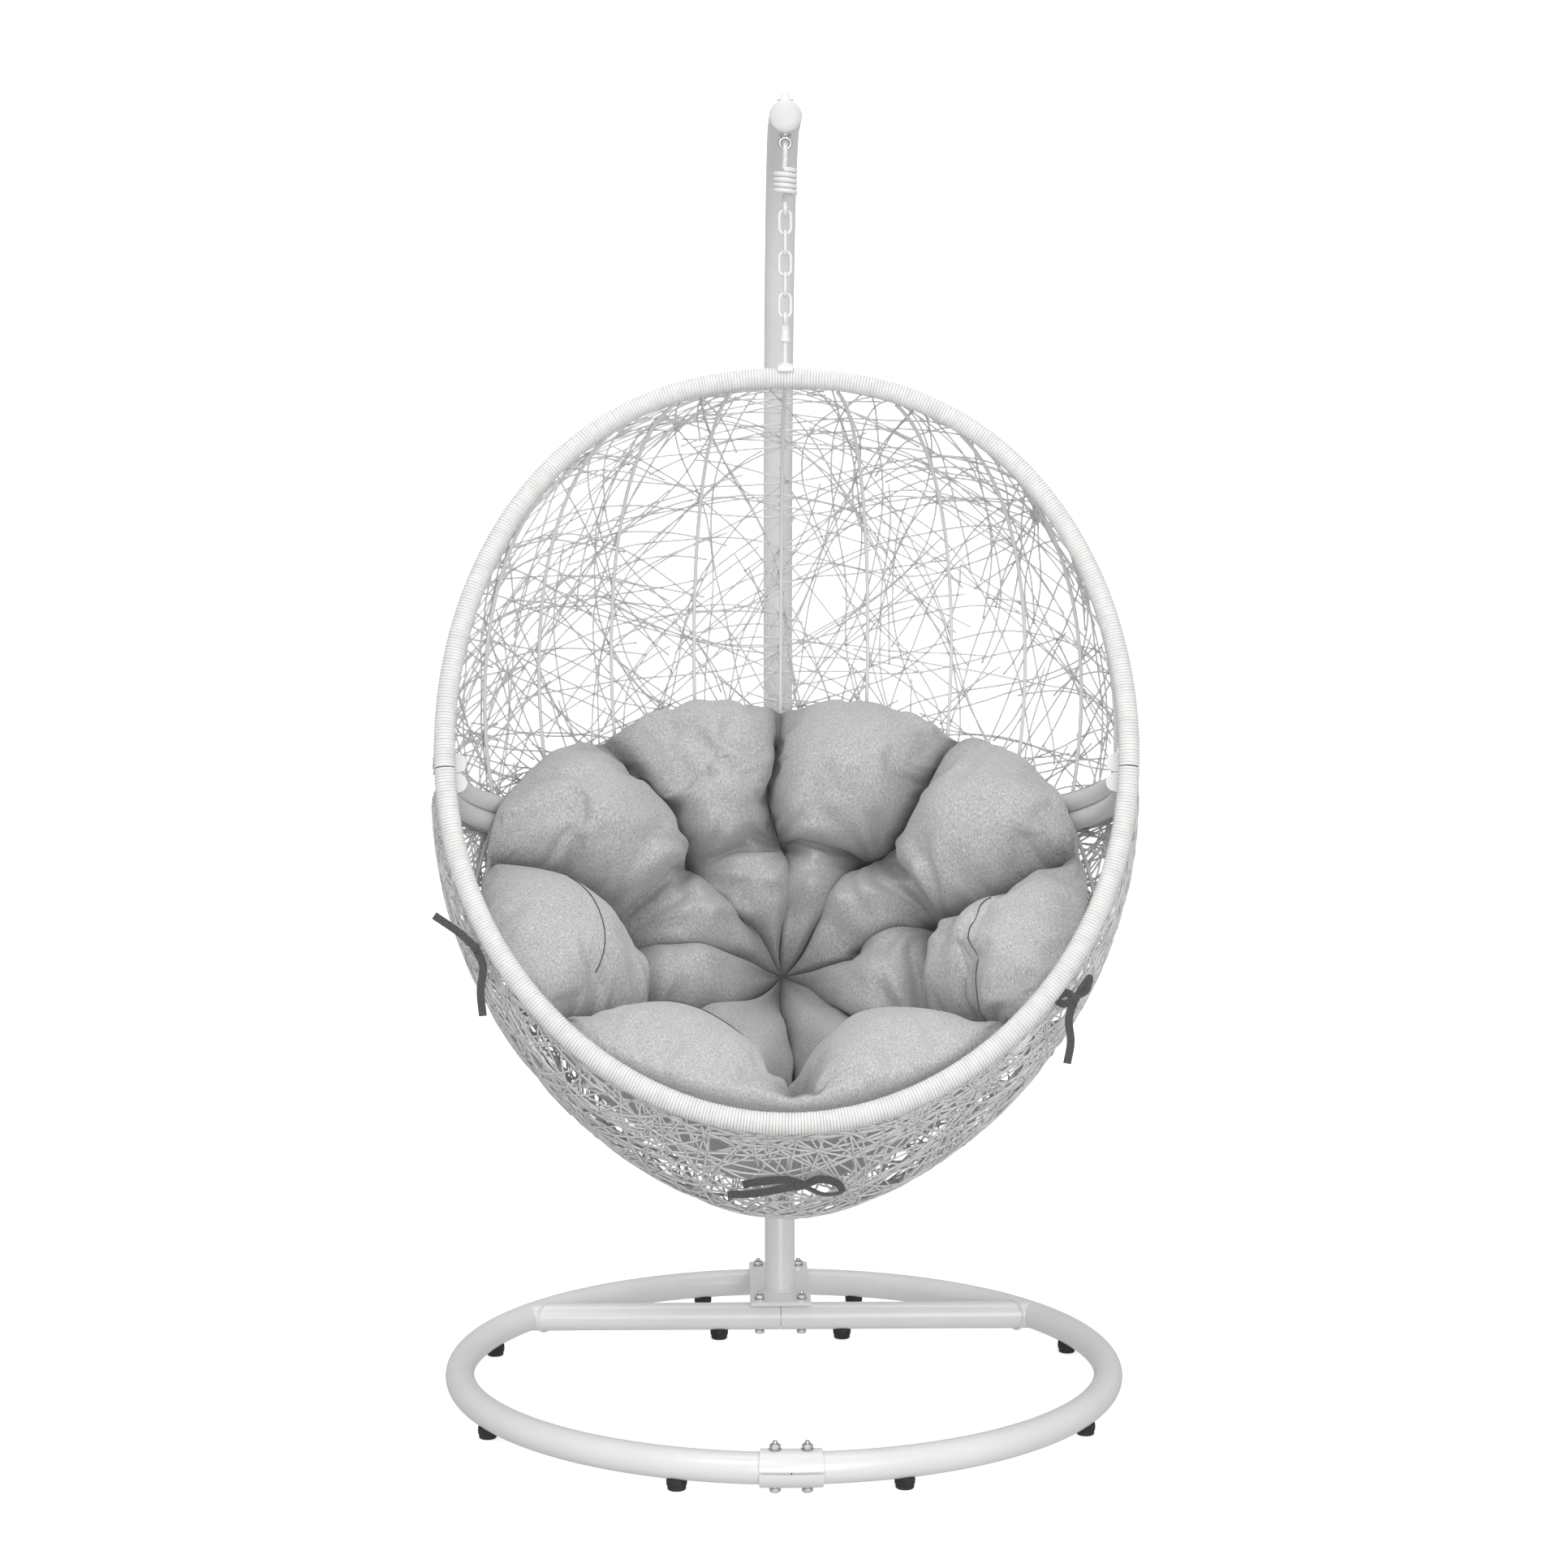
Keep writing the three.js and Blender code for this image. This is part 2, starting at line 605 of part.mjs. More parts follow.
// ---- Eye bolt ----
const eyeZ = ARM_Z - POST_TUBE_R - EYE_DROP;
const eyeTopZ = ARM_Z + POST_TUBE_R + GAP;

function eyeBolt() {
  const radius = EYE_HOLE_R + EYE_RIM;
  const ring = crossRod(radius, EYE_THICKNESS, at(0, hangY, eyeZ), 16);
  const shankBase = eyeZ + EYE_HOLE_R + 1;
  const shank = rod(EYE_SHANK_R, shankBase, eyeTopZ + NUT_HEIGHT - shankBase, 10, 0, hangY);
  return cut(joined(ring, shank), crossRod(EYE_HOLE_R, 4 * EYE_THICKNESS, at(0, hangY, eyeZ), 16));
}

add('eye_bolt', eyeBolt(), zinc());
const eyeBore = EYE_SHANK_R + GAP;
const eyeNut = turned([
  [0, 13],
  [4, 12.2],
  [6.5, 9],
  [7.5, 5],
  [EYE_NUT_R, 3.4],
  [EYE_NUT_R, 1.4],
  [8, 0],
  [eyeBore, 0],
  [eyeBore, NUT_HEIGHT + GAP],
  [0, NUT_HEIGHT + GAP],
].reverse());
add('eye_nut', eyeNut, whiteSteel(), at(0, hangY, eyeTopZ + GAP));

// ---- Spring ----
const hookRest = eyeZ - EYE_HOLE_R + SPRING_WIRE_R + 2 * RUN_GAP;
const coilTop = eyeZ - HOOK_TOP_DROP;
const coilBottom = coilTop - SPRING_PITCH * SPRING_TURNS;
const hookBottom = coilBottom - HOOK_END_DROP;

function springCurve() {
  const hookReach = EYE_THICKNESS / 2 + SPRING_WIRE_R + 1.6;
  const points = [
    at(0, hookReach + 1, hookRest - 13),
    at(0, hookReach, hookRest - 4),
    at(0, 0, hookRest),
    at(0, -hookReach, hookRest - 4),
    at(0, -hookReach - 1, hookRest - 13),
    at(0, -SPRING_COIL_R * 0.4, hookRest - 24),
  ];
  const perTurn = 10;
  const count = SPRING_TURNS * perTurn;
  for (let k = 0; k <= count; k += 1) {
    const angle = (2 * Math.PI * k) / perTurn;
    const z = coilTop - (SPRING_PITCH * k) / perTurn;
    points.push(at(SPRING_COIL_R * Math.sin(angle), -SPRING_COIL_R * Math.cos(angle), z));
  }
  const hookR = LINK_WIRE_R + SPRING_WIRE_R + 2;
  points.push(
    at(-1, hookR * 0.7, coilBottom - 10),
    at(0, -hookR * 0.6, coilBottom - 15),
    at(0, -hookR, hookBottom + 8),
    at(0, 0, hookBottom),
    at(0, hookR, hookBottom + 8),
    at(0, hookR * 0.9, hookBottom + 13),
  );
  return through(points.map((p) => p.add(at(0, hangY, 0))));
}

add('spring', tube(springCurve(), SPRING_WIRE_R, 84, 5), whiteSteel());

// ---- Chain ----
const linkPitch = LINK_INNER_LENGTH - RUN_GAP;
const firstLinkZ = hookBottom + SPRING_WIRE_R + 2 * RUN_GAP - LINK_INNER_LENGTH / 2;

function linkGeometry() {
  const bend = LINK_INNER_WIDTH / 2 + LINK_WIRE_R;
  const straight = LINK_INNER_LENGTH / 2 - LINK_INNER_WIDTH / 2;
  const points = [];
  for (const end of [1, -1]) {
    for (const angle of [0, 45, 90, 135, 180].map(radians)) {
      points.push(at(end * bend * Math.cos(angle), 0, end * (straight + bend * Math.sin(angle))));
    }
  }
  const ring = new THREE.CatmullRomCurve3(points, true, 'catmullrom', 0.4);
  return sweep(polygon(LINK_WIRE_R, 6), ring, 16);
}

for (let k = 0; k < LINK_COUNT; k += 1) {
  const place = at(0, hangY, firstLinkZ - k * linkPitch);
  add(`chain_link_${k + 1}`, linkGeometry(), whiteSteel(), place, (k % 2) * (Math.PI / 2));
}

// ---- Swivel ----
const lastLinkFloor = firstLinkZ - (LINK_COUNT - 1) * linkPitch - LINK_INNER_LENGTH / 2;
const loopTop = lastLinkFloor + GAP + SWIVEL_WIRE_R;
const loopZ = loopTop - SWIVEL_LOOP_R;
const bodyTop = loopZ - SWIVEL_LOOP_R - SWIVEL_WIRE_R / 2;
const bodyBottom = bodyTop - SWIVEL_BODY_H;

function swivelEye() {
  const ring = new THREE.TorusGeometry(SWIVEL_LOOP_R, SWIVEL_WIRE_R, 6, 14);
  ring.rotateY(Math.PI / 2).translate(0, hangY, loopZ);
  const chamber = SWIVEL_HEAD_H + 2 * RUN_GAP;
  const lip = 6;
  const body = turned([
    [0, bodyTop + 2],
    [SWIVEL_BODY_R * 0.7, bodyTop],
    [SWIVEL_BODY_R, bodyTop - 6],
    [SWIVEL_BODY_R, bodyBottom + 5],
    [SWIVEL_COLLAR_R, bodyBottom + 4],
    [SWIVEL_COLLAR_R, bodyBottom],
    [SWIVEL_STEM_R + RUN_GAP, bodyBottom],
    [SWIVEL_STEM_R + RUN_GAP, bodyBottom + lip],
    [SWIVEL_HEAD_R + RUN_GAP, bodyBottom + lip],
    [SWIVEL_HEAD_R + RUN_GAP, bodyBottom + lip + chamber],
    [0, bodyBottom + lip + chamber],
  ].reverse());
  const pinHole = crossRod(SWIVEL_PIN_R + GAP, 6 * SWIVEL_BODY_R, pinCentre(), 8);
  return cut(joined(ring, body.translate(0, hangY, 0)), pinHole);
}

function pinCentre() {
  return at(0, hangY, bodyTop - 4);
}

add('swivel_eye', swivelEye(), whiteSteel());
add('swivel_pin', crossRod(SWIVEL_PIN_R, 2 * SWIVEL_BODY_R + 1, pinCentre(), 8), zinc());

const saddleTop = crown.z + RIM_WRAP_R + GAP + SADDLE_THICKNESS;
const stemTop = bodyBottom + 6 + RUN_GAP + SWIVEL_HEAD_H;

function hangerStem() {
  const profile = [
    [0, stemTop],
    [SWIVEL_HEAD_R, stemTop],
    [SWIVEL_HEAD_R, stemTop - SWIVEL_HEAD_H],
    [SWIVEL_STEM_R, stemTop - SWIVEL_HEAD_H],
    [SWIVEL_STEM_R, saddleTop - 1],
    [0, saddleTop - 1],
  ].reverse();
  const block = new THREE.BoxGeometry(SADDLE_WIDTH, SADDLE_DEPTH, SADDLE_THICKNESS + SADDLE_WRAP);
  block.translate(0, hangY, saddleTop - (SADDLE_THICKNESS + SADDLE_WRAP) / 2);
  const seatR = RIM_WRAP_R + 2 * GAP;
  const seat = new THREE.CylinderGeometry(seatR, seatR, 2 * SADDLE_WIDTH, 20);
  seat.rotateZ(Math.PI / 2).translate(0, hangY, crown.z);
  return cut(joined(turned(profile, 12).translate(0, hangY, 0), block), seat);
}

add('hanger_stem', hangerStem(), whiteSteel());

// ---- Cushion ----
const seatUp = at(0, Math.cos(radians(CUSHION_TILT)), Math.sin(radians(CUSHION_TILT)));
const seatDeep = at(0, Math.sin(radians(CUSHION_TILT)), -Math.cos(radians(CUSHION_TILT)));

// A pad that lines the bowl, out to its round edge.
const cushionInset = WEAVE_THICKNESS / 2 + SHELL_GAP + 2 * BELT_TUBE_R + CUSHION_GAP;

function cushionGeometry() {
  const [rings, spokes] = [7, 24];
  const edge = 92;
  const layer = (depth) => {
    const rows = [];
    for (let i = 0; i <= rings; i += 1) {
      const angle = radians((edge * i) / rings);
      const row = [];
      for (let j = 0; j < spokes; j += 1) {
        const round = (2 * Math.PI * j) / spokes;
        const side = at(Math.cos(round), 0, 0).addScaledVector(seatUp, Math.sin(round));
        const direction = side.multiplyScalar(Math.sin(angle)).addScaledVector(seatDeep, Math.cos(angle));
        const inset = cushionInset + depth * edgeRound(i / rings);
        row.push(eggPoint(CUSHION_CENTRE, direction.normalize(), inset));
      }
      rows.push(row);
    }
    return rows;
  };
  return padBetween(layer(0), layer(CUSHION_THICKNESS));
}

const edgeRound = (share) => Math.sqrt(1 - 0.88 * share ** 6);

// A closed solid between two dishes whose first rows are single points.
function padBetween(below, above) {
  const spokes = below[0].length;
  const positions = [];
  const indices = [];
  const layers = [below, above].map((rows) => rows.map((row, i) => {
    if (i === 0) {
      positions.push(...row[0].toArray());
      return row.map(() => positions.length / 3 - 1);
    }
    return row.map((p) => {
      positions.push(...p.toArray());
      return positions.length / 3 - 1;
    });
  }));
  const quad = (a, b, c, d) => {
    if (a !== b && b !== c && a !== c) indices.push(a, b, c);
    if (a !== c && c !== d && a !== d) indices.push(a, c, d);
  };
  layers.forEach((rows, layer) => {
    for (let i = 0; i + 1 < rows.length; i += 1) {
      for (let j = 0; j < spokes; j += 1) {
        const k = (j + 1) % spokes;
        const ring = [rows[i][j], rows[i + 1][j], rows[i + 1][k], rows[i][k]];
        quad(...(layer ? ring : ring.reverse()));
      }
    }
  });
  const last = below.length - 1;
  for (let j = 0; j < spokes; j += 1) {
    const k = (j + 1) % spokes;
    quad(layers[0][last][j], layers[0][last][k], layers[1][last][k], layers[1][last][j]);
  }
  const geometry = new THREE.BufferGeometry();
  geometry.setAttribute('position', new THREE.Float32BufferAttribute(positions, 3));
  geometry.setIndex(indices);
  return outward(geometry);
}

add('cushion', cushionGeometry(), greyFabric());

// ---- Ties ----
const ribbon = () => {
  const [half, thin] = [TIE_WIDTH / 2, TIE_THICKNESS / 2];
  const corners = [[-thin, -half], [thin, -half], [thin, half], [-thin, half]];
  return new THREE.Shape(corners.map((corner) => new THREE.Vector2(...corner)));
};

function tie(name, centre, ends) {
  const [first, last] = ends;
  const nearer = ends.map((end) => end.clone().multiplyScalar(0.4));
  const curve = through([first, nearer[0], at(0, 0, 0), nearer[1], last]);
  add(name, sweep(ribbon(), curve, 8), darkFabric(), centre);
}

const tieOffset = RIM_WRAP_R + TIE_WIDTH;
for (const [name, angle, ends] of [
  ['tie_left', -60, [at(-54, 0, 45), at(15, 0, -96)]],
  ['tie_right', 51, [at(20, 0, 26), at(-12, 0, -98)]],
]) {
  const turn = radians(angle); // round the rim from its lowest point
  const place = eggPoint(rimCentre, rimDirection(turn, -1));
  const outside = at(Math.sin(turn), 0, 0).addScaledVector(rimUp, -Math.cos(turn));
  const centre = place.addScaledVector(outside, tieOffset).addScaledVector(rimBack, RIM_WRAP_R / 2);
  tie(name, centre, ends);
}
const bowDirection = ribDirection(radians(3), -1, 0.11);
const bowCentre = eggPoint(rimCentre, bowDirection, -(WEAVE_THICKNESS / 2 + TIE_WIDTH));
tie('tie_front', bowCentre, [at(-102, 16, -16), at(48, 8, -8)]);

// The origin is under the middle of the whole chair.
const extent = new THREE.Box3().setFromObject(chair);
chair.children.forEach((mesh) => {
  mesh.position.y -= (extent.min.y + extent.max.y) / 2;
  mesh.position.z -= extent.min.z;
});

export default chair;
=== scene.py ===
"""Looks of the hanging egg chair: a woven egg with a tufted cushion, hung by a spring,
a chain and a swivel from a bowed post on a ring base. Metres, in the frame's axes."""

import json
import math

import bmesh
import bpy
import numpy as np
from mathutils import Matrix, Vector


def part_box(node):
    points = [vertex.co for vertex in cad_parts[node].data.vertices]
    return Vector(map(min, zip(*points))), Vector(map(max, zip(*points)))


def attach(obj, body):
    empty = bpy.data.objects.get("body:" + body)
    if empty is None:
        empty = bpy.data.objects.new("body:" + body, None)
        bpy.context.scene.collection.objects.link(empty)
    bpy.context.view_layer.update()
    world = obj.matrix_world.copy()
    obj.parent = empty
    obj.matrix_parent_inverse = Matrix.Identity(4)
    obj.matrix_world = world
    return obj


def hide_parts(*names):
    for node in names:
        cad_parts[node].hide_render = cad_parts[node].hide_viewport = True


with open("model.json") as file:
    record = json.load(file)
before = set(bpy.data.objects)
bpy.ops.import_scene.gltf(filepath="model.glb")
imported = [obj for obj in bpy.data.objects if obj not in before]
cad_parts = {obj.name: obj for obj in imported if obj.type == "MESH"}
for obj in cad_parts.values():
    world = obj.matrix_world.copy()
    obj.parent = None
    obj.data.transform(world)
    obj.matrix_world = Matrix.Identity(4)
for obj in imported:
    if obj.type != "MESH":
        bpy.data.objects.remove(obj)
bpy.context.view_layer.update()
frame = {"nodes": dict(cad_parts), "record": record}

# ---- Sizes ----
RING_RADIUS = 0.48
RING_TUBE_R = 0.021
POST_TUBE_R = 0.024
CROSSBAR_BACK = 0.27  # behind the ring's centre
SEAM = 0.0005
CLAMP_LENGTH = 0.083
CLAMP_GAP = 0.0015
CLAMP_WALL = 0.0026
CLAMP_SPLIT = 0.003
PLATE_WIDTH = 0.096
PLATE_THICKNESS = 0.006
PLATE_OVERHANG = 0.025
BOLT_R = 0.004
HEX_R = 0.0076
HEX_HEIGHT = 0.0055
NUT_HEIGHT = 0.007
WASHER = 0.0009
FIT = 0.0003  # left between pieces that touch
POST_BACK = 0.33
POST_BOW = 0.19
POST_JOINT_Z = 1.0
ARM_Z = 1.88
ARM_PAST_EYE = 0.027
EYE_HOLE_R = 0.0056
EYE_DROP = 0.012

EGG_BACK = -0.12  # the egg's axis, from the ring's centre
EGG_Z = 0.898
EGG_HALF_WIDTH = 0.509
EGG_HALF_DEPTH = 0.411
EGG_RISE, CROWN_FULLNESS = 0.604, 0.44
EGG_DROP, KEEL_FULLNESS = 0.615, 0.61
RIM_TILT = math.radians(17.16)
RIM_BACK, BELT_Z = -0.253, 0.945
RIM_WRAP_R = 0.0155
WIND_PITCH = 0.0043
BELT_TUBE_R = 0.014
BELT_END = math.radians(87.6)
RIB_R = 0.003
RIB_COUNT = 13
RIB_FAN = 0.45
RIB_EDGE = math.radians(78)
SHELL_GAP = 0.008
STRAND_R = 0.0015

PAD_INSET = 0.045
PAD_TILT = math.radians(40.6)
PAD_BACK, PAD_Z = -0.07, 0.757
PAD_EDGE = math.radians(92)
PAD_BACK_DROP = math.radians(6)  # less of it at the back
PAD_NOTCH = math.radians(3.5)  # how far a crease pulls the edge in
PAD_ROUNDED = 0.8  # where the lobes start to round off towards the edge
PAD_SEAM = 0.014  # thickness left in a crease
SEAMED = [(184, 213), (222, 262), (323, 352)]  # degrees round the pad where its seam shows
CREASE_WANDER = 0.16
PAD_CREST = 0.145  # from the creases' floor to a lobe's crest

# Places that the frame gives.
base_low, base_high = (Vector(corner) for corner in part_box("base_half_left"))
RING_Y = (base_low.y + base_high.y) / 2
RING_Z = (base_low.z + base_high.z) / 2
HANG_Y = sum(corner[1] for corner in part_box("chain_link_1")) / 2
PLATE_Z = RING_Z + RING_TUBE_R + FIT
EYE_Z = ARM_Z - POST_TUBE_R - EYE_DROP
SEED = 7


# ---- Materials ----
class Shader:
    """A material whose nodes are added one by one."""

    def __init__(self, name, color, roughness, metallic=0.0, **sockets):
        self.material = bpy.data.materials.new(name)
        self.material.use_nodes = True
        self.tree = self.material.node_tree
        self.surface = self.tree.nodes["Principled BSDF"]
        self.normal = None
        self.surface.inputs["Base Color"].default_value = (*color, 1)
        self.surface.inputs["Roughness"].default_value = roughness
        self.surface.inputs["Metallic"].default_value = metallic
        for socket, value in sockets.items():
            self.surface.inputs[socket.replace("_", " ")].default_value = value

    def node(self, kind, **settings):
        node = self.tree.nodes.new(kind)
        for setting, value in settings.items():
            if setting in node.inputs:
                node.inputs[setting].default_value = value
            else:
                setattr(node, setting, value)
        return node

    def link(self, source, target):
        self.tree.links.new(source, target)

    def noise(self, scale, detail=2.0, stretch=(1, 1, 1)):
        """Noise over the object's own coordinates, drawn out along an axis by stretch."""
        place = self.node("ShaderNodeTexCoord")
        mapping = self.node("ShaderNodeMapping", Scale=stretch)
        noise = self.node("ShaderNodeTexNoise", Scale=scale, Detail=detail)
        self.link(place.outputs["Object"], mapping.inputs["Vector"])
        self.link(mapping.outputs["Vector"], noise.inputs["Vector"])
        return noise.outputs["Fac"]

    def ramp(self, value, *stops):
        ramp = self.node("ShaderNodeValToRGB")
        elements = ramp.color_ramp.elements
        while len(elements) < len(stops):
            elements.new(0.5)
        for element, (position, color) in zip(elements, stops):
            element.position = position
            element.color = (*color, 1)
        self.link(value, ramp.inputs["Fac"])
        return ramp.outputs["Color"]

    def colored(self, value, *stops):
        self.link(self.ramp(value, *stops), self.surface.inputs["Base Color"])

    def rough(self, value, low, high):
        spread = self.node("ShaderNodeMapRange")
        spread.inputs["To Min"].default_value = low
        spread.inputs["To Max"].default_value = high
        self.link(value, spread.inputs["Value"])
        self.link(spread.outputs["Result"], self.surface.inputs["Roughness"])

    def bumped(self, distance, *values):
        """Bumps from one or more height values, one over the other."""
        for value in values:
            bump = self.node("ShaderNodeBump", Distance=distance, Strength=0.6)
            self.link(value, bump.inputs["Height"])
            if self.normal:
                self.link(self.normal, bump.inputs["Normal"])
            self.normal = bump.outputs["Normal"]
        self.link(self.normal, self.surface.inputs["Normal"])


def grey(value):
    return (value, value, value)


def powder_coat():
    paint = Shader("white_powder_coat", grey(0.82), 0.3, Coat_Weight=0.2, Coat_Roughness=0.15)
    paint.colored(paint.noise(14), (0.3, grey(0.785)), (0.7, (0.815, 0.815, 0.81)))
    peel = paint.noise(900)
    paint.rough(paint.noise(40), 0.24, 0.36)
    paint.bumped(0.00006, peel)
    return paint.material


def wicker(name, light, dark, **sockets):
    strip = Shader(name, light, 0.5, Specular_IOR_Level=0.4, **sockets)
    strip.colored(strip.noise(60, 3), (0.35, dark), (0.6, light))
    strip.rough(strip.noise(300), 0.42, 0.6)
    strip.bumped(0.0001, strip.noise(1400, 3, (1, 1, 0.3)))
    return strip.material


def zinc_plate():
    plated = Shader("zinc_plate", (0.62, 0.63, 0.65), 0.32, 1.0)
    plated.colored(plated.noise(120), (0.3, (0.52, 0.53, 0.55)), (0.7, (0.7, 0.7, 0.72)))
    plated.rough(plated.noise(260, 3), 0.25, 0.45)
    plated.bumped(0.00005, plated.noise(1500))
    return plated.material


def foot_rubber():
    rubber = Shader("foot_rubber", grey(0.02), 0.7)
    rubber.colored(rubber.noise(90), (0.3, grey(0.012)), (0.7, grey(0.03)))
    rubber.rough(rubber.noise(200), 0.6, 0.8)
    rubber.bumped(0.0001, rubber.noise(1200))
    return rubber.material


def cap_plastic():
    plastic = Shader("cap_plastic", grey(0.7), 0.42)
    plastic.colored(plastic.noise(50), (0.3, grey(0.66)), (0.7, grey(0.72)))
    plastic.bumped(0.00006, plastic.noise(1000))
    return plastic.material


def cushion_cloth():
    """Heathered cloth: light and dark threads mixed at thread size, with a slight weave, and
    painted shade that darkens it where the pad is least full, in its creases and tufts.
    """
    cloth = Shader("heather_cloth", grey(0.36), 0.95, Sheen_Weight=0.35, Sheen_Roughness=0.5)
    flecks = cloth.ramp(
        cloth.noise(520, 6, (1, 1, 0.45)),
        (0.3, grey(0.34)),
        (0.44, grey(0.46)),
        (0.56, grey(0.55)),
        (0.72, grey(0.7)),
    )
    # Painted shade: the pad's fullness darkens the cloth in its creases and tufts, where shade
    # falls.
    fullness = cloth.node("ShaderNodeAttribute")
    fullness.attribute_name = "fullness"
    depth = cloth.ramp(
        fullness.outputs["Fac"],
        (0.02, grey(0.12)),
        (0.2, grey(0.46)),
        (0.5, grey(0.82)),
        (0.85, grey(1)),
    )
    shaded = cloth.node("ShaderNodeVectorMath")
    shaded.operation = "MULTIPLY"
    cloth.link(flecks, shaded.inputs[0])
    cloth.link(depth, shaded.inputs[1])
    cloth.link(shaded.outputs["Vector"], cloth.surface.inputs["Base Color"])
    threads = cloth.noise(1100, 2, (1, 1, 0.5))
    creases = cloth.noise(24, 3)
    cloth.bumped(0.003, cloth.noise(17, 3, (1, 1, 0.45)))
    cloth.bumped(0.0004, threads)
    cloth.rough(creases, 0.88, 1.0)
    return cloth.material


def thread():
    dark = Shader("seam_thread", grey(0.08), 0.9)
    dark.colored(dark.noise(800), (0.3, grey(0.05)), (0.7, grey(0.12)))
    return dark.material


def ribbon_cloth():
    """Dark ribbon with fine ribs across it."""
    cloth = Shader("ribbon_cloth", grey(0.08), 0.9, Sheen_Weight=0.3)
    cloth.colored(cloth.noise(600, 4), (0.3, grey(0.05)), (0.7, grey(0.11)))
    cloth.bumped(0.0003, cloth.noise(1300, 1, (1, 1, 0.2)))
    return cloth.material


def paper(name, glow):
    """White studio paper, lit evenly from behind by its glow."""
    sheet = Shader(name, grey(0.9), 0.9, Emission_Color=(1, 1, 1, 1), Emission_Strength=glow)
    sheet.colored(sheet.noise(2), (0.4, grey(0.895)), (0.6, grey(0.905)))
    return sheet.material


COAT = powder_coat()
WINDING = wicker("wicker_winding", (0.85, 0.85, 0.84), (0.79, 0.79, 0.78))
# Painted shade: the strands are the winding's white wicker, made darker to stand for the shade that
# greys them.
STRANDS = wicker(
    "wicker_strand",
    (0.73, 0.73, 0.72),
    (0.66, 0.66, 0.65),
    Subsurface_Weight=0.6,
    Subsurface_Radius=(1, 1, 1),
    Subsurface_Scale=0.004,
)
ZINC = zinc_plate()
RUBBER = foot_rubber()
CAP = cap_plastic()
CLOTH = cushion_cloth()
THREAD = thread()
RIBBON = ribbon_cloth()
SLOTS = {
    "white_steel": COAT,
    "white_wicker": WINDING,
    "zinc": ZINC,
    "black_rubber": RUBBER,
    "cap_plastic": CAP,
    "grey_fabric": CLOTH,
    "dark_fabric": RIBBON,
}


# ---- Meshes ----
def as_object(name, vertices, faces, edges=()):
    mesh = bpy.data.meshes.new(name)
    mesh.from_pydata([tuple(v) for v in vertices], [tuple(e) for e in edges], faces)
    mesh.update()
    piece = bpy.data.objects.new(name, mesh)
    bpy.context.scene.collection.objects.link(piece)
    return piece


def finished(piece, body, slot, *nodes, material=None, sharp=35):
    """Gives a piece its finish, its body and the CAD nodes that it stands for."""
    mesh = piece.data
    if not mesh.materials:
        mesh.materials.append(material or SLOTS[slot])
    mesh.shade_smooth()
    mesh.set_sharp_from_angle(angle=math.radians(sharp))
    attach(piece, body)
    if nodes:
        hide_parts(*nodes)
    return piece


def together(*parts):
    """Vertices and faces of several shapes as one."""
    vertices, faces = [], []
    for part_vertices, part_faces in parts:
        start = len(vertices)
        vertices += [tuple(v) for v in part_vertices]
        faces += [tuple(start + index for index in face) for face in part_faces]
    return vertices, faces


def moved(shape, place):
    vertices, faces = shape
    return [tuple(Vector(v) + Vector(place)) for v in vertices], faces


def circle(radius, sides, flatten=1.0):
    turn = np.linspace(0, 2 * np.pi, sides, endpoint=False)
    return np.stack([radius * np.cos(turn), flatten * radius * np.sin(turn)], axis=1)


def swept(points, profile, closed=False, up=(0, 0, 1)):
    """A profile carried along a line without twisting, and capped unless it is closed."""
    points = np.asarray(points, float)
    if closed:
        ahead = np.roll(points, -1, 0) - np.roll(points, 1, 0)
    else:
        ahead = np.gradient(points, axis=0)
    ahead /= np.linalg.norm(ahead, axis=1)[:, None]
    side = np.cross(ahead[0], up)
    if np.linalg.norm(side) < 0.1:
        side = np.cross(ahead[0], (1, 0, 0))
    side /= np.linalg.norm(side)
    rings = []
    for point, along in zip(points, ahead):
        side = side - along * side.dot(along)
        side /= np.linalg.norm(side)
        rise = np.cross(side, along)
        rings.append(point + profile[:, :1] * side + profile[:, 1:] * rise)
    count, sides = len(points), len(profile)
    vertices = np.concatenate(rings)
    faces = []
    for i in range(count if closed else count - 1):
        for j in range(sides):
            a, b = i * sides + j, i * sides + (j + 1) % sides
            c, d = ((i + 1) % count) * sides + j, ((i + 1) % count) * sides + (j + 1) % sides
            faces.append((a, b, d, c))
    if not closed:
        faces.append(tuple(range(sides))[::-1])
        faces.append(tuple((count - 1) * sides + j for j in range(sides)))
    return vertices, faces


def tube(points, radius, sides=24, closed=False):
    return swept(points, circle(radius, sides), closed)


def turned(profile, sides=40, place=(0, 0, 0), along="z"):
    """A profile of (radius, height) points turned about an upright axis, or about Y."""
    vertices, faces = [], []
    for radius, height in profile:
        for k in range(sides):
            angle = 2 * math.pi * k / sides
            x, y = radius * math.cos(angle), radius * math.sin(angle)
            vertices.append((x, y, height) if along == "z" else (x, -height, y))
    for i in range(len(profile) - 1):
        for k in range(sides):
            a, b = i * sides + k, i * sides + (k + 1) % sides
            faces.append((a, b, b + sides, a + sides))
    faces.append(tuple(range(sides))[::-1])
    last = (len(profile) - 1) * sides
    faces.append(tuple(last + k for k in range(sides)))
    return moved((vertices, faces), place)


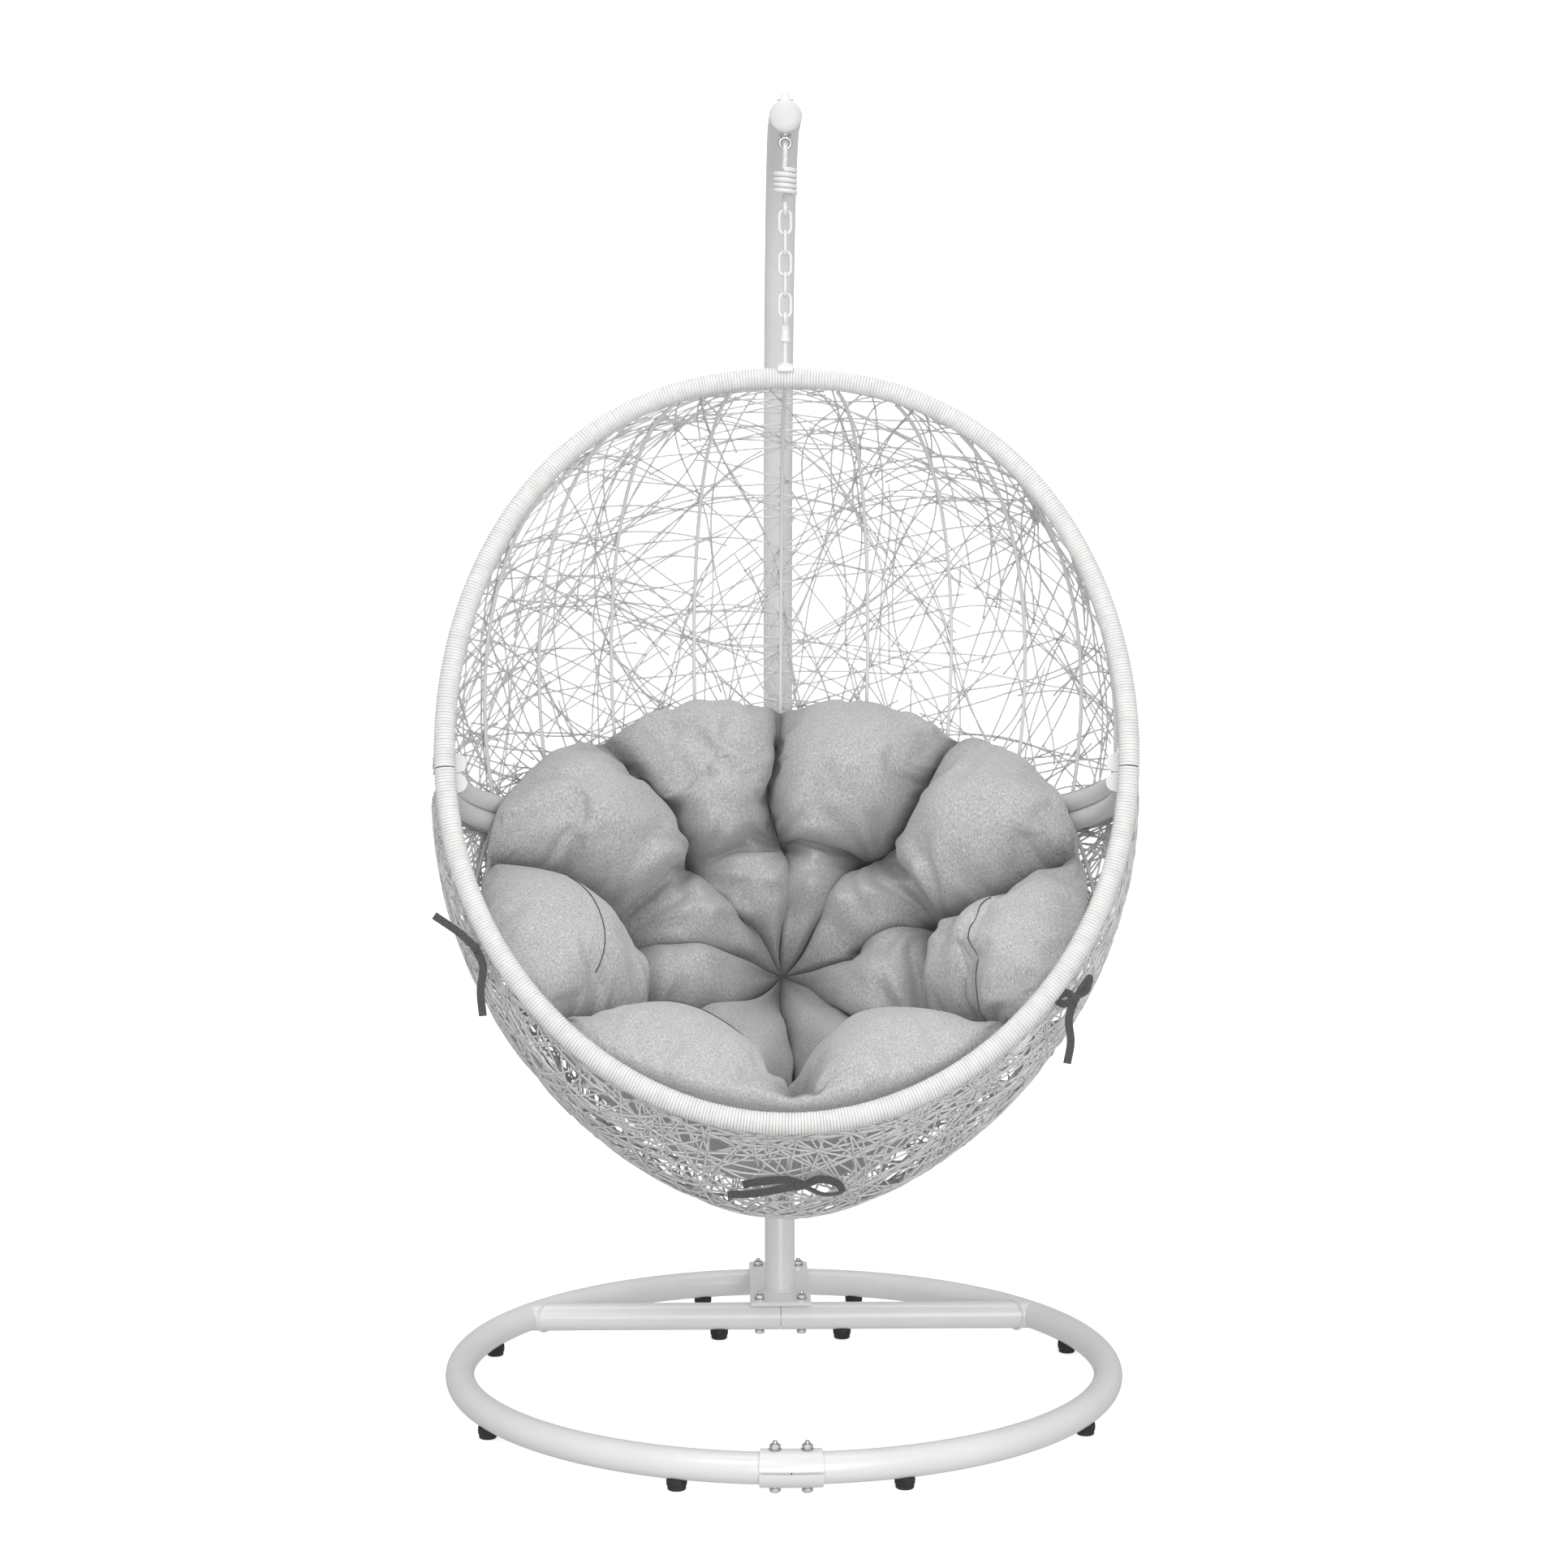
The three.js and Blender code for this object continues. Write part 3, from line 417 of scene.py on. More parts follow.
def through(points, count):
    """A smooth line through points, spaced by the root of their distances."""
    points = np.asarray(points, float)
    ends = (2 * points[0] - points[1], 2 * points[-1] - points[-2])
    knots = np.concatenate([[ends[0]], points, [ends[1]]])
    line = []
    spans = len(points) - 1
    for position in np.linspace(0, spans, count):
        k = min(int(position), spans - 1)
        p = knots[k : k + 4]
        t = np.concatenate([[0], np.cumsum(np.linalg.norm(np.diff(p, axis=0), axis=1) ** 0.5)])
        at = t[1] + (position - k) * (t[2] - t[1])
        rows = list(p)
        for level in range(1, 4):
            rows = [
                (rows[i] * (stop - at) + rows[i + 1] * (at - start)) / (stop - start)
                for i, (start, stop) in enumerate(spans_of(t, level))
            ]
        line.append(rows[0])
    return np.array(line)


def spans_of(t, level):
    """The knot spans of each level of the smooth line's blending."""
    if level == 1:
        return [(t[0], t[1]), (t[1], t[2]), (t[2], t[3])]
    if level == 2:
        return [(t[0], t[2]), (t[1], t[3])]
    return [(t[1], t[2])]


def box(low, high, bevel=0.0):
    """A block with rounded edges."""
    shape = bmesh.new()
    bmesh.ops.create_cube(shape, size=1)
    for vertex in shape.verts:
        for axis in range(3):
            vertex.co[axis] = low[axis] if vertex.co[axis] < 0 else high[axis]
    if bevel:
        bmesh.ops.bevel(shape, geom=shape.edges[:], offset=bevel, segments=3, affect="EDGES")
    vertices = [tuple(v.co) for v in shape.verts]
    faces = [tuple(v.index for v in face.verts) for face in shape.faces]
    shape.free()
    return vertices, faces


# ---- Geometry Nodes ----
class Nodes:
    """A geometry tree with named inputs, built in order and baked to a plain mesh."""

    def __init__(self, name):
        self.tree = bpy.data.node_groups.new(name, "GeometryNodeTree")
        self.sockets = {}
        self.socket("Geometry", "NodeSocketGeometry")
        self.tree.interface.new_socket(
            "Geometry", in_out="OUTPUT", socket_type="NodeSocketGeometry"
        )
        self.entry = self.tree.nodes.new("NodeGroupInput")
        self.exit = self.tree.nodes.new("NodeGroupOutput")

    def socket(self, name, kind):
        made = self.tree.interface.new_socket(name, in_out="INPUT", socket_type=kind)
        self.sockets[name] = made.identifier

    def node(self, kind, inputs=None, **settings):
        node = self.tree.nodes.new(kind)
        for setting, value in settings.items():
            setattr(node, setting, value)
        for name, value in (inputs or {}).items():
            if isinstance(value, bpy.types.NodeSocket):
                self.tree.links.new(value, node.inputs[name])
            else:
                node.inputs[name].default_value = value
        return node

    def given(self, name):
        return self.entry.outputs[name]

    def end(self, geometry):
        realized = self.node("GeometryNodeRealizeInstances", {"Geometry": geometry})
        painted = self.node(
            "GeometryNodeSetMaterial",
            {"Geometry": realized.outputs[0], "Material": self.given("Material")},
        )
        self.tree.links.new(painted.outputs[0], self.exit.inputs[0])

    def bake(self, carrier, name, **values):
        """Applies the tree to a carrier object and returns the plain mesh piece."""
        modifier = carrier.modifiers.new("nodes", "NODES")
        modifier.node_group = self.tree
        for socket, value in values.items():
            modifier[self.sockets[socket.replace("_", " ")]] = value
        graph = bpy.context.evaluated_depsgraph_get()
        mesh = bpy.data.meshes.new_from_object(carrier.evaluated_get(graph))
        mesh.name = name
        bpy.data.objects.remove(carrier)
        piece = bpy.data.objects.new(name, mesh)
        bpy.context.scene.collection.objects.link(piece)
        return piece


def winding_tree():
    """Rings of wicker strip set side by side along a line."""
    nodes = Nodes("winding")
    nodes.socket("Pitch", "NodeSocketFloat")
    nodes.socket("Loop Radius", "NodeSocketFloat")
    nodes.socket("Strip Radius", "NodeSocketFloat")
    nodes.socket("Seed", "NodeSocketInt")
    nodes.socket("Material", "NodeSocketMaterial")
    line = nodes.node("GeometryNodeMeshToCurve", {"Mesh": nodes.given("Geometry")})
    spaced = nodes.node(
        "GeometryNodeResampleCurve",
        {"Curve": line.outputs[0], "Length": nodes.given("Pitch")},
        mode="LENGTH",
    )
    loop = nodes.node(
        "GeometryNodeCurvePrimitiveCircle",
        {"Resolution": 20, "Radius": nodes.given("Loop Radius")},
    )
    strip = nodes.node(
        "GeometryNodeCurvePrimitiveCircle",
        {"Resolution": 6, "Radius": nodes.given("Strip Radius")},
    )
    ring = nodes.node(
        "GeometryNodeCurveToMesh",
        {"Curve": loop.outputs[0], "Profile Curve": strip.outputs[0]},
    )
    tangent = nodes.node("GeometryNodeInputTangent")
    aligned = nodes.node(
        "FunctionNodeAlignRotationToVector", {"Vector": tangent.outputs[0]}, axis="Z"
    )
    wobble = nodes.node(
        "FunctionNodeRandomValue", {"Seed": nodes.given("Seed")}, data_type="FLOAT"
    )
    wobble.inputs[2].default_value = 0.985
    wobble.inputs[3].default_value = 1.01
    rings = nodes.node(
        "GeometryNodeInstanceOnPoints",
        {
            "Points": spaced.outputs[0],
            "Instance": ring.outputs[0],
            "Rotation": aligned.outputs[0],
            "Scale": wobble.outputs[1],
        },
    )
    nodes.end(rings.outputs[0])
    return nodes


def rods_tree():
    """Round rods along lines."""
    nodes = Nodes("rods")
    nodes.socket("Radius", "NodeSocketFloat")
    nodes.socket("Sides", "NodeSocketInt")
    nodes.socket("Step", "NodeSocketFloat")
    nodes.socket("Material", "NodeSocketMaterial")
    line = nodes.node("GeometryNodeMeshToCurve", {"Mesh": nodes.given("Geometry")})
    spaced = nodes.node(
        "GeometryNodeResampleCurve",
        {"Curve": line.outputs[0], "Length": nodes.given("Step")},
        mode="LENGTH",
    )
    profile = nodes.node(
        "GeometryNodeCurvePrimitiveCircle",
        {"Resolution": nodes.given("Sides"), "Radius": nodes.given("Radius")},
    )
    rods = nodes.node(
        "GeometryNodeCurveToMesh",
        {"Curve": spaced.outputs[0], "Profile Curve": profile.outputs[0], "Fill Caps": True},
    )
    nodes.end(rods.outputs[0])
    return nodes


def placing_tree():
    """A shape set on every point, turned about the upright by the point's turn."""
    nodes = Nodes("placing")
    nodes.socket("Shape", "NodeSocketObject")
    nodes.socket("Material", "NodeSocketMaterial")
    shape = nodes.node("GeometryNodeObjectInfo", {"Object": nodes.given("Shape")})
    turn = nodes.node("GeometryNodeInputNamedAttribute", {"Name": "turn"}, data_type="FLOAT_VECTOR")
    placed = nodes.node(
        "GeometryNodeInstanceOnPoints",
        {
            "Points": nodes.given("Geometry"),
            "Instance": shape.outputs["Geometry"],
            "Rotation": turn.outputs[0],
        },
    )
    nodes.end(placed.outputs[0])
    return nodes


WINDING_TREE = winding_tree()
RODS_TREE = rods_tree()
PLACING_TREE = placing_tree()


def lines_object(lines):
    """Points and edges of several lines, as a carrier for a geometry tree."""
    vertices, edges = [], []
    for line in lines:
        start = len(vertices)
        vertices += [tuple(point) for point in line]
        edges += [(start + k, start + k + 1) for k in range(len(line) - 1)]
    return as_object("carrier", vertices, [], edges)


def rods(name, lines, radius, sides, step, material):
    return RODS_TREE.bake(
        lines_object(lines), name, Radius=radius, Sides=sides, Step=step, Material=material
    )


def placed(name, shape, places, material, turns=None):
    """Copies of a shape at places, each turned by the angles given for it."""
    carrier = as_object("carrier", places, [])
    turn = carrier.data.attributes.new("turn", "FLOAT_VECTOR", "POINT")
    for index, angles in enumerate(turns or [(0, 0, 0)] * len(places)):
        turn.data[index].vector = angles
    pattern = as_object("pattern", *shape)
    piece = PLACING_TREE.bake(carrier, name, Shape=pattern, Material=material)
    bpy.data.objects.remove(pattern)
    return piece


# ---- The egg's surface ----
RIM_UP = np.array([0, math.sin(RIM_TILT), math.cos(RIM_TILT)])
RIM_INTO = np.array([0, math.cos(RIM_TILT), -math.sin(RIM_TILT)])
RIM_CENTRE = np.array([0, RING_Y + RIM_BACK, BELT_Z])
EGG_Y = RING_Y + EGG_BACK


def egg_value(points):
    """Under 0 inside the egg and over 0 outside it."""
    x, y, z = np.moveaxis(points, -1, 0)
    height = np.where(z > EGG_Z, EGG_RISE, EGG_DROP)
    fullness = np.where(z > EGG_Z, CROWN_FULLNESS, KEEL_FULLNESS)
    left = 1 - ((z - EGG_Z) / height) ** 2
    level = np.where(left > 0, np.abs(left) ** (2 * fullness), left)
    return (x / EGG_HALF_WIDTH) ** 2 + ((y - EGG_Y) / EGG_HALF_DEPTH) ** 2 - level


def egg_normal(points):
    step = 0.0005
    slopes = []
    for axis in np.eye(3):
        slopes.append(egg_value(points + step * axis) - egg_value(points - step * axis))
    normal = np.stack(slopes, axis=-1)
    return normal / np.linalg.norm(normal, axis=-1)[..., None]


def egg_points(origin, directions, inset=0.0):
    """Where rays from inside meet the egg, moved inward by the inset."""
    directions = directions / np.linalg.norm(directions, axis=-1)[..., None]
    near = np.zeros(directions.shape[:-1])
    far = np.full_like(near, 2 * EGG_DROP)
    for _ in range(30):
        middle = (near + far) / 2
        inside = egg_value(origin + directions * middle[..., None]) < 0
        near, far = np.where(inside, middle, near), np.where(inside, far, middle)
    points = origin + directions * near[..., None]
    return points - egg_normal(points) * np.asarray(inset)[..., None]


def sideways(angles):
    return np.stack([np.sin(angles), 0 * angles, 0 * angles], axis=-1)


def rim_directions(angles, half):
    return sideways(angles) + half * np.cos(angles)[..., None] * RIM_UP


def belt_directions(angles):
    return sideways(angles) + np.cos(angles)[..., None] * RIM_INTO


def between(start, end, shares):
    """Directions from start to end along the great circle between them."""
    angle = np.arccos(np.clip((start * end).sum(-1), -1, 1))[..., None]
    shares = shares[..., None]
    return (np.sin((1 - shares) * angle) * start + np.sin(shares * angle) * end) / np.sin(angle)


def rim_line(half, count=160):
    end = math.radians(90 - 0.35)
    return egg_points(RIM_CENTRE, rim_directions(np.linspace(-end, end, count), half))


def belt_line(half, count=80):
    inset = 0.002 + SHELL_GAP + BELT_TUBE_R
    lift = half * (BELT_TUBE_R + FIT)
    origin = RIM_CENTRE + RIM_UP * lift
    angles = np.linspace(-BELT_END, BELT_END, count)
    points = egg_points(origin, belt_directions(angles), inset)
    off = lift - (points - RIM_CENTRE) @ RIM_UP
    return points + off[:, None] * RIM_UP


def rib_line(angle, half, count=40):
    """From just behind the rim to the belt."""
    fanned = angle - RIB_FAN * math.sin(2 * angle) / 2
    start = rim_directions(np.full(count, fanned), half)
    end = belt_directions(np.full(count, angle))
    inset = 0.002 + SHELL_GAP + RIB_R
    points = egg_points(RIM_CENTRE, between(start, end, np.linspace(0, 1, count)), inset)
    behind = (points - RIM_CENTRE) @ RIM_INTO > RIM_WRAP_R / 2
    beyond = half * ((points - RIM_CENTRE) @ RIM_UP) > BELT_TUBE_R
    return points[behind & beyond]


# ---- Basket ----
STRAND_STEP = 0.05  # along a strand, as an angle seen from the rim's middle
STRAND_STEPS = 36
STRAND_BEND = 0.75  # how much a strand's bend changes from step to step
STRAND_EDGE = 0.03  # how near the rim and the belt a strand turns back
STRAND_WEAVE = 0.0025  # how far a strand goes over and under the others
RIM_SHELL = 0.002  # from the egg's surface to the middle of the weave


def folded_in(directions, half):
    """Directions that left one half of the egg, mirrored back into it."""
    into, up = directions @ RIM_INTO, half * (directions @ RIM_UP)
    deeper = (np.abs(into - STRAND_EDGE) + STRAND_EDGE) - into
    lift = (np.abs(up - STRAND_EDGE) + STRAND_EDGE) - up
    return directions + deeper[:, None] * RIM_INTO + half * lift[:, None] * RIM_UP


def strands(half, count, chance):
    """Strands that wander over one half, turning back at the rim and the belt."""
    place = chance.normal(0, 1, (count, 3))
    place = place @ np.stack([[1, 0, 0], RIM_INTO, RIM_UP])
    place = folded_in(place / np.linalg.norm(place, axis=1)[:, None], half)
    heading = np.cross(place, chance.normal(0, 1, (count, 3)))
    heading /= np.linalg.norm(heading, axis=1)[:, None]
    bend = chance.normal(0, STRAND_BEND, count)
    rows = []
    for _ in range(STRAND_STEPS):
        rows.append(place)
        bend = 0.8 * bend + chance.normal(0, STRAND_BEND, count)
        side = np.cross(place, heading)
        heading = heading + STRAND_STEP * bend[:, None] * side
        moved_on = place + STRAND_STEP * heading
        place = folded_in(moved_on / np.linalg.norm(moved_on, axis=1)[:, None], half)
        heading = place - rows[-1]
        heading -= (heading * place).sum(axis=1)[:, None] * place
        heading /= np.linalg.norm(heading, axis=1)[:, None]
    paths = np.stack(rows, axis=1)
    steps = np.arange(STRAND_STEPS)
    lines = []
    for path in paths:
        weave = STRAND_WEAVE * np.sin(steps * chance.uniform(0.5, 1.1) + chance.uniform(0, 6))
        keep = int(chance.uniform(0.6, 1) * STRAND_STEPS)
        lines.append(egg_points(RIM_CENTRE, path, weave + RIM_SHELL)[:keep])
    return lines


def basket():
    chance = np.random.default_rng(SEED)
    for name, half, count in (("upper", 1, 235), ("lower", -1, 370)):
        carrier = lines_object([rim_line(half)])
        winding = WINDING_TREE.bake(
            carrier,
            f"{name}_rim_winding",
            Pitch=WIND_PITCH,
            Loop_Radius=RIM_WRAP_R - WIND_PITCH / 2,
            Strip_Radius=WIND_PITCH * 0.54,
            Seed=SEED,
            Material=WINDING,
        )
        finished(winding, "basket", "white_wicker", f"{name}_rim_wrap", sharp=180)
        weave = rods(f"{name}_strands", strands(half, count, chance), STRAND_R, 5, 0.013, STRANDS)
        finished(weave, "basket", "white_wicker", f"{name}_weave", sharp=180)
        angles = np.linspace(-RIB_EDGE, RIB_EDGE, RIB_COUNT)
        ribs = rods(f"{name}_ribs", [rib_line(a, half) for a in angles], RIB_R, 10, 0.02, COAT)
        finished(ribs, "basket", "white_steel", f"{name}_cage", sharp=180)
        belt = rods(f"{name}_belt", [belt_line(half)], BELT_TUBE_R, 28, 0.012, COAT)
        finished(belt, "basket", "white_steel", sharp=60)


# ---- Stand ----
def ring_points(start, stop, count, side=1):
    angles = np.radians(np.linspace(start, stop, count))
    x = side * RING_RADIUS * np.sin(angles)
    y = RING_Y - RING_RADIUS * np.cos(angles)
    return np.stack([x, y, 0 * x + RING_Z], axis=1)


def degrees_of(length):
    return math.degrees(length / RING_RADIUS)


def base_frame():
    seam = degrees_of(SEAM)
    reach = math.sqrt(RING_RADIUS**2 - CROSSBAR_BACK**2)
    bar_y = RING_Y + CROSSBAR_BACK
    for name, side in (("left", -1), ("right", 1)):
        arc = tube(ring_points(seam, 180 - seam, 120, side), RING_TUBE_R, 36)
        ends = np.array([[side * SEAM, bar_y, RING_Z], [side * reach, bar_y, RING_Z]])
        bar = tube(np.linspace(*ends, 12), RING_TUBE_R * 0.995, 36)
        weld = RING_RADIUS - RING_TUBE_R * 0.98
        weld_x = side * (math.sqrt(weld**2 - CROSSBAR_BACK**2) - 0.001)
        turn = np.linspace(0, 2 * np.pi, 48, endpoint=False)
        bead_r = RING_TUBE_R + 0.0008
        skew = side * 0.56 * bead_r * np.cos(turn)
        bead = np.stack(
            [weld_x - skew, bar_y + bead_r * np.cos(turn), RING_Z + bead_r * np.sin(turn)], axis=1
        )
        shape = together(arc, bar, tube(bead, 0.0022, 8, closed=True))
        finished(as_object(f"base_{name}", *shape), "stand", "white_steel", f"base_half_{name}")


def foot_shape():
    profile = [
        (0.0, 0.0),
        (0.0113, 0.0),
        (0.0125, 0.0012),
        (0.0128, 0.006),
        (0.0138, 0.0068),
        (0.0142, 0.012),
        (0.0136, 0.0165),
        (0.0, 0.0175),
    ]
    return turned(profile, 28)


def feet():
    names = [f"foot_{k}" for k in range(1, 11)]
    places, turns = [], []
    for name in names:
        low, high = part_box(name)
        x, y = (low[0] + high[0]) / 2, (low[1] + high[1]) / 2
        places.append((x, y, 0.0))
        turns.append((0, 0, math.atan2(x, RING_Y - y)))
    piece = placed("feet", foot_shape(), places, RUBBER, turns)
    finished(piece, "stand", "black_rubber", *names)


def clamp():
    """Two half sleeves with a slit between them."""
    inner = RING_TUBE_R + CLAMP_GAP
    half = degrees_of(CLAMP_LENGTH / 2)
    points = ring_points(-half, half, 30)
    for name, sign in (("upper", 1), ("lower", -1)):
        profile = []
        for radius, order in ((inner + CLAMP_WALL, 1), (inner, -1)):
            lift = math.asin(CLAMP_SPLIT / 2 / radius)
            turn = np.linspace(lift, math.pi - lift, 25)[::order]
            profile += [(radius * math.cos(a), sign * radius * math.sin(a)) for a in turn]
        shape = swept(points, np.array(profile)[:: -sign])
        piece = as_object(f"{name}_clamp", *shape)
        bevel = piece.modifiers.new("edge", "BEVEL")
        bevel.width = 0.0006
        bevel.segments = 2
        bevel.limit_method = "ANGLE"
        finished(piece, "stand", "white_steel", f"front_clamp_{name}")


def hexagon(radius, low, high, chamfer=0.0012):
    """A hexagonal block whose corners are turned off at both ends."""
    rings = [
        (radius * 0.88, low),
        (radius, low + chamfer),
        (radius, high - chamfer),
        (radius * 0.88, high),
    ]
    vertices, faces = [], []
    for ring, height in rings:
        for k in range(6):
            angle = math.pi * k / 3
            vertices.append((ring * math.cos(angle), ring * math.sin(angle), height))
    for i in range(3):
        for k in range(6):
            a, b = 6 * i + k, 6 * i + (k + 1) % 6
            faces.append((a, b, b + 6, a + 6))
    faces.append((5, 4, 3, 2, 1, 0))
    faces.append(tuple(range(18, 24)))
    return vertices, faces


def screw(length):
    """A shank with threads, its end turned down."""
    profile = [(0.0, HEX_HEIGHT / 2), (BOLT_R, HEX_HEIGHT / 2)]
    pitch = 0.00125
    height = length - 14 * pitch
    while height < length - pitch:
        profile += [(BOLT_R, height), (BOLT_R * 0.86, height + pitch / 2)]
        height += pitch
    profile += [(BOLT_R * 0.75, length), (0.0, length)]
    return turned(profile, 16)


def fasteners():
    flange_r = HEX_R + WASHER
    washer = turned([(0.0, 0.0), (flange_r, 0.0), (flange_r, WASHER), (0.0, WASHER)], 28)
    nut = together(washer, hexagon(HEX_R, 0.0006, NUT_HEIGHT))
    for group, count in (("clamp", 2), ("plate", 4)):
        bolts = [f"{group}_bolt_{k}" for k in range(1, count + 1)]
        nuts = [f"{group}_nut_{k}" for k in range(1, count + 1)]
        places = []
        for bolt in bolts:
            low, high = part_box(bolt)
            places.append(((low[0] + high[0]) / 2, (low[1] + high[1]) / 2, low[2]))
        low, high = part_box(bolts[0])
        nut_low, nut_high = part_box(nuts[0])
        shape = together(hexagon(HEX_R, 0, HEX_HEIGHT), screw(nut_high[2] - low[2] - 0.001))
        piece = placed(f"{group}_bolts", shape, places, ZINC)
        finished(piece, "stand", "zinc", *bolts, sharp=25)
        seats = [(x, y, nut_low[2]) for x, y, _ in places]
        piece = placed(f"{group}_nuts", nut, seats, ZINC)
        finished(piece, "stand", "zinc", *nuts, sharp=25)


def post_line(count=400):
    y, bow = RING_Y + POST_BACK, POST_BOW
    shares = [
        (0, y, PLATE_Z),
        (0, y + bow * 0.12, ARM_Z * 0.13),
        (0, y + bow * 0.47, ARM_Z * 0.28),
        (0, y + bow * 0.88, ARM_Z * 0.45),
        (0, y + bow, ARM_Z * 0.58),
        (0, y + bow * 0.83, ARM_Z * 0.735),
        (0, y + bow * 0.34, ARM_Z * 0.873),
        (0, y - bow * 0.5, ARM_Z * 0.965),
        (0, HANG_Y + 0.15, ARM_Z - 0.001),
        (0, HANG_Y + 0.06, ARM_Z),
        (0, HANG_Y - ARM_PAST_EYE, ARM_Z),
    ]
    return through(shares, count)


def post():
    line = post_line()
    joint = int(np.argmax(line[:, 2] > POST_JOINT_Z))
    front = RING_Y + CROSSBAR_BACK - PLATE_OVERHANG
    back = RING_Y + RING_RADIUS + PLATE_OVERHANG
    plate = box(
        (-PLATE_WIDTH / 2, front, PLATE_Z),
        (PLATE_WIDTH / 2, back, PLATE_Z + PLATE_THICKNESS),
        0.0016,
    )
    turn = np.linspace(0, 2 * np.pi, 64, endpoint=False)
    bead_r = POST_TUBE_R + 0.001
    bead = np.stack(
        [
            bead_r * np.cos(turn),
            line[0][1] + bead_r * np.sin(turn),
            0 * turn + PLATE_Z + PLATE_THICKNESS + 0.0006,
        ],
        axis=1,
    )
    step = (line[joint] - line[joint - 1]) / np.linalg.norm(line[joint] - line[joint - 1])
    below = np.concatenate([line[:joint], [line[joint] - step * 0.0006]])
    lower = together(tube(below, POST_TUBE_R, 40), plate, tube(bead, 0.0024, 8, closed=True))
    finished(as_object("lower_post", *lower), "stand", "white_steel", "post_lower")
    upper = tube(line[joint:], POST_TUBE_R, 40)
    finished(as_object("upper_post", *upper), "stand", "white_steel", "post_upper")


def arm_end():
    end_y = HANG_Y - ARM_PAST_EYE - 2 * FIT
    profile = [(0.0, -0.004)]
    profile += [(POST_TUBE_R - 0.003, -0.004), (POST_TUBE_R - 0.003, 0.0), (POST_TUBE_R, 0.0)]
    for angle in np.linspace(0, math.pi / 2, 10)[1:]:
        profile.append((POST_TUBE_R * math.cos(angle), 0.007 * math.sin(angle)))
    shape = turned(profile, 40, (0, end_y, ARM_Z), along="y")
    finished(as_object("arm_cap", *shape), "stand", "cap_plastic", "arm_end_cap")


def ring_of(radius, wire, centre, normal="y", count=40, sides=14):
    turn = np.linspace(0, 2 * np.pi, count, endpoint=False)
    c, s, z = radius * np.cos(turn), radius * np.sin(turn), 0 * turn
    points = np.stack([c, z, s], axis=1) if normal == "y" else np.stack([z, c, s], axis=1)
    return tube(points + np.array(centre), wire, sides, closed=True)


def eye():
    shank_low = EYE_Z + EYE_HOLE_R + 0.002
    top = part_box("eye_bolt")[1][2]
    ring = ring_of(EYE_HOLE_R + 0.0025, 0.0027, (0, HANG_Y, EYE_Z), sides=18)
    collar = [(0.0, shank_low), (0.0065, shank_low + 0.001), (0.009, ARM_Z - POST_TUBE_R - 0.001)]
    collar += [(0.009, ARM_Z - POST_TUBE_R + 0.001), (0.005, ARM_Z - POST_TUBE_R + 0.002)]
    collar += [(0.005, top), (0.0, top)]
    shape = together(ring, turned(collar, 24, (0, HANG_Y, 0)))
    finished(as_object("eye", *shape), "stand", "zinc", "eye_bolt")
    nut_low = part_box("eye_nut")[0][2]
    profile = [(0.0, 0.0), (0.008, 0.0), (0.0118, 0.0014), (0.0122, 0.0026), (0.0116, 0.0036)]
    profile += [(0.0078, 0.0048), (0.0068, 0.0088), (0.0045, 0.0118), (0.002, 0.0129), (0.0, 0.013)]
    nut = turned(profile, 32, (0, HANG_Y, nut_low))
    finished(as_object("arm_nut", *nut), "stand", "white_steel", "eye_nut", sharp=50)


# ---- Suspension ----
SPRING_WIRE_R = 0.0036
SPRING_COIL_R = 0.0145
SPRING_PITCH = 0.0079
SPRING_TURNS = 4.5
LINK_WIRE_R = 0.0026


def spring():
    """A closed coil between two hooks, the upper one through the eye."""
    rest = EYE_Z - EYE_HOLE_R + SPRING_WIRE_R + 0.0012
    top = EYE_Z - 0.039
    bottom = top - SPRING_PITCH * SPRING_TURNS
    end = bottom - 0.03
    reach = 0.003 + SPRING_WIRE_R + 0.0016
    points = [
        (0, reach + 0.001, rest - 0.013),
        (0, reach, rest - 0.004),
        (0, 0, rest),
        (0, -reach, rest - 0.004),
        (0, -reach - 0.001, rest - 0.013),
        (0, -SPRING_COIL_R * 0.4, rest - 0.024),
    ]
    per_turn = 10
    for k in range(int(SPRING_TURNS * per_turn) + 1):
        angle = 2 * math.pi * k / per_turn
        x, y = SPRING_COIL_R * math.sin(angle), -SPRING_COIL_R * math.cos(angle)
        points.append((x, y, top - SPRING_PITCH * k / per_turn))
    hook = LINK_WIRE_R + SPRING_WIRE_R + 0.002
    points += [
        (-0.001, hook * 0.7, bottom - 0.01),
        (0, -hook * 0.6, bottom - 0.015),
        (0, -hook, end + 0.008),
        (0, 0, end),
        (0, hook, end + 0.008),
        (0, hook * 0.9, end + 0.013),
    ]
    points = [(x, y + HANG_Y, z) for x, y, z in points]
    shape = tube(through(points, 460), SPRING_WIRE_R, 14)
    finished(as_object("coil_spring", *shape), "spring_hook", "white_steel", "spring")


def link_shape():
    """A long round-wire link, upright in the XZ plane."""
    low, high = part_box("chain_link_1")
    bend = (high[0] - low[0]) / 2 - LINK_WIRE_R
    straight = (high[2] - low[2]) / 2 - LINK_WIRE_R - bend
    turn = np.linspace(0, np.pi, 14)
    arc = np.stack([bend * np.cos(turn), 0 * turn, straight + bend * np.sin(turn)], axis=1)
    return tube(np.concatenate([arc, -arc]), LINK_WIRE_R, 12, closed=True)


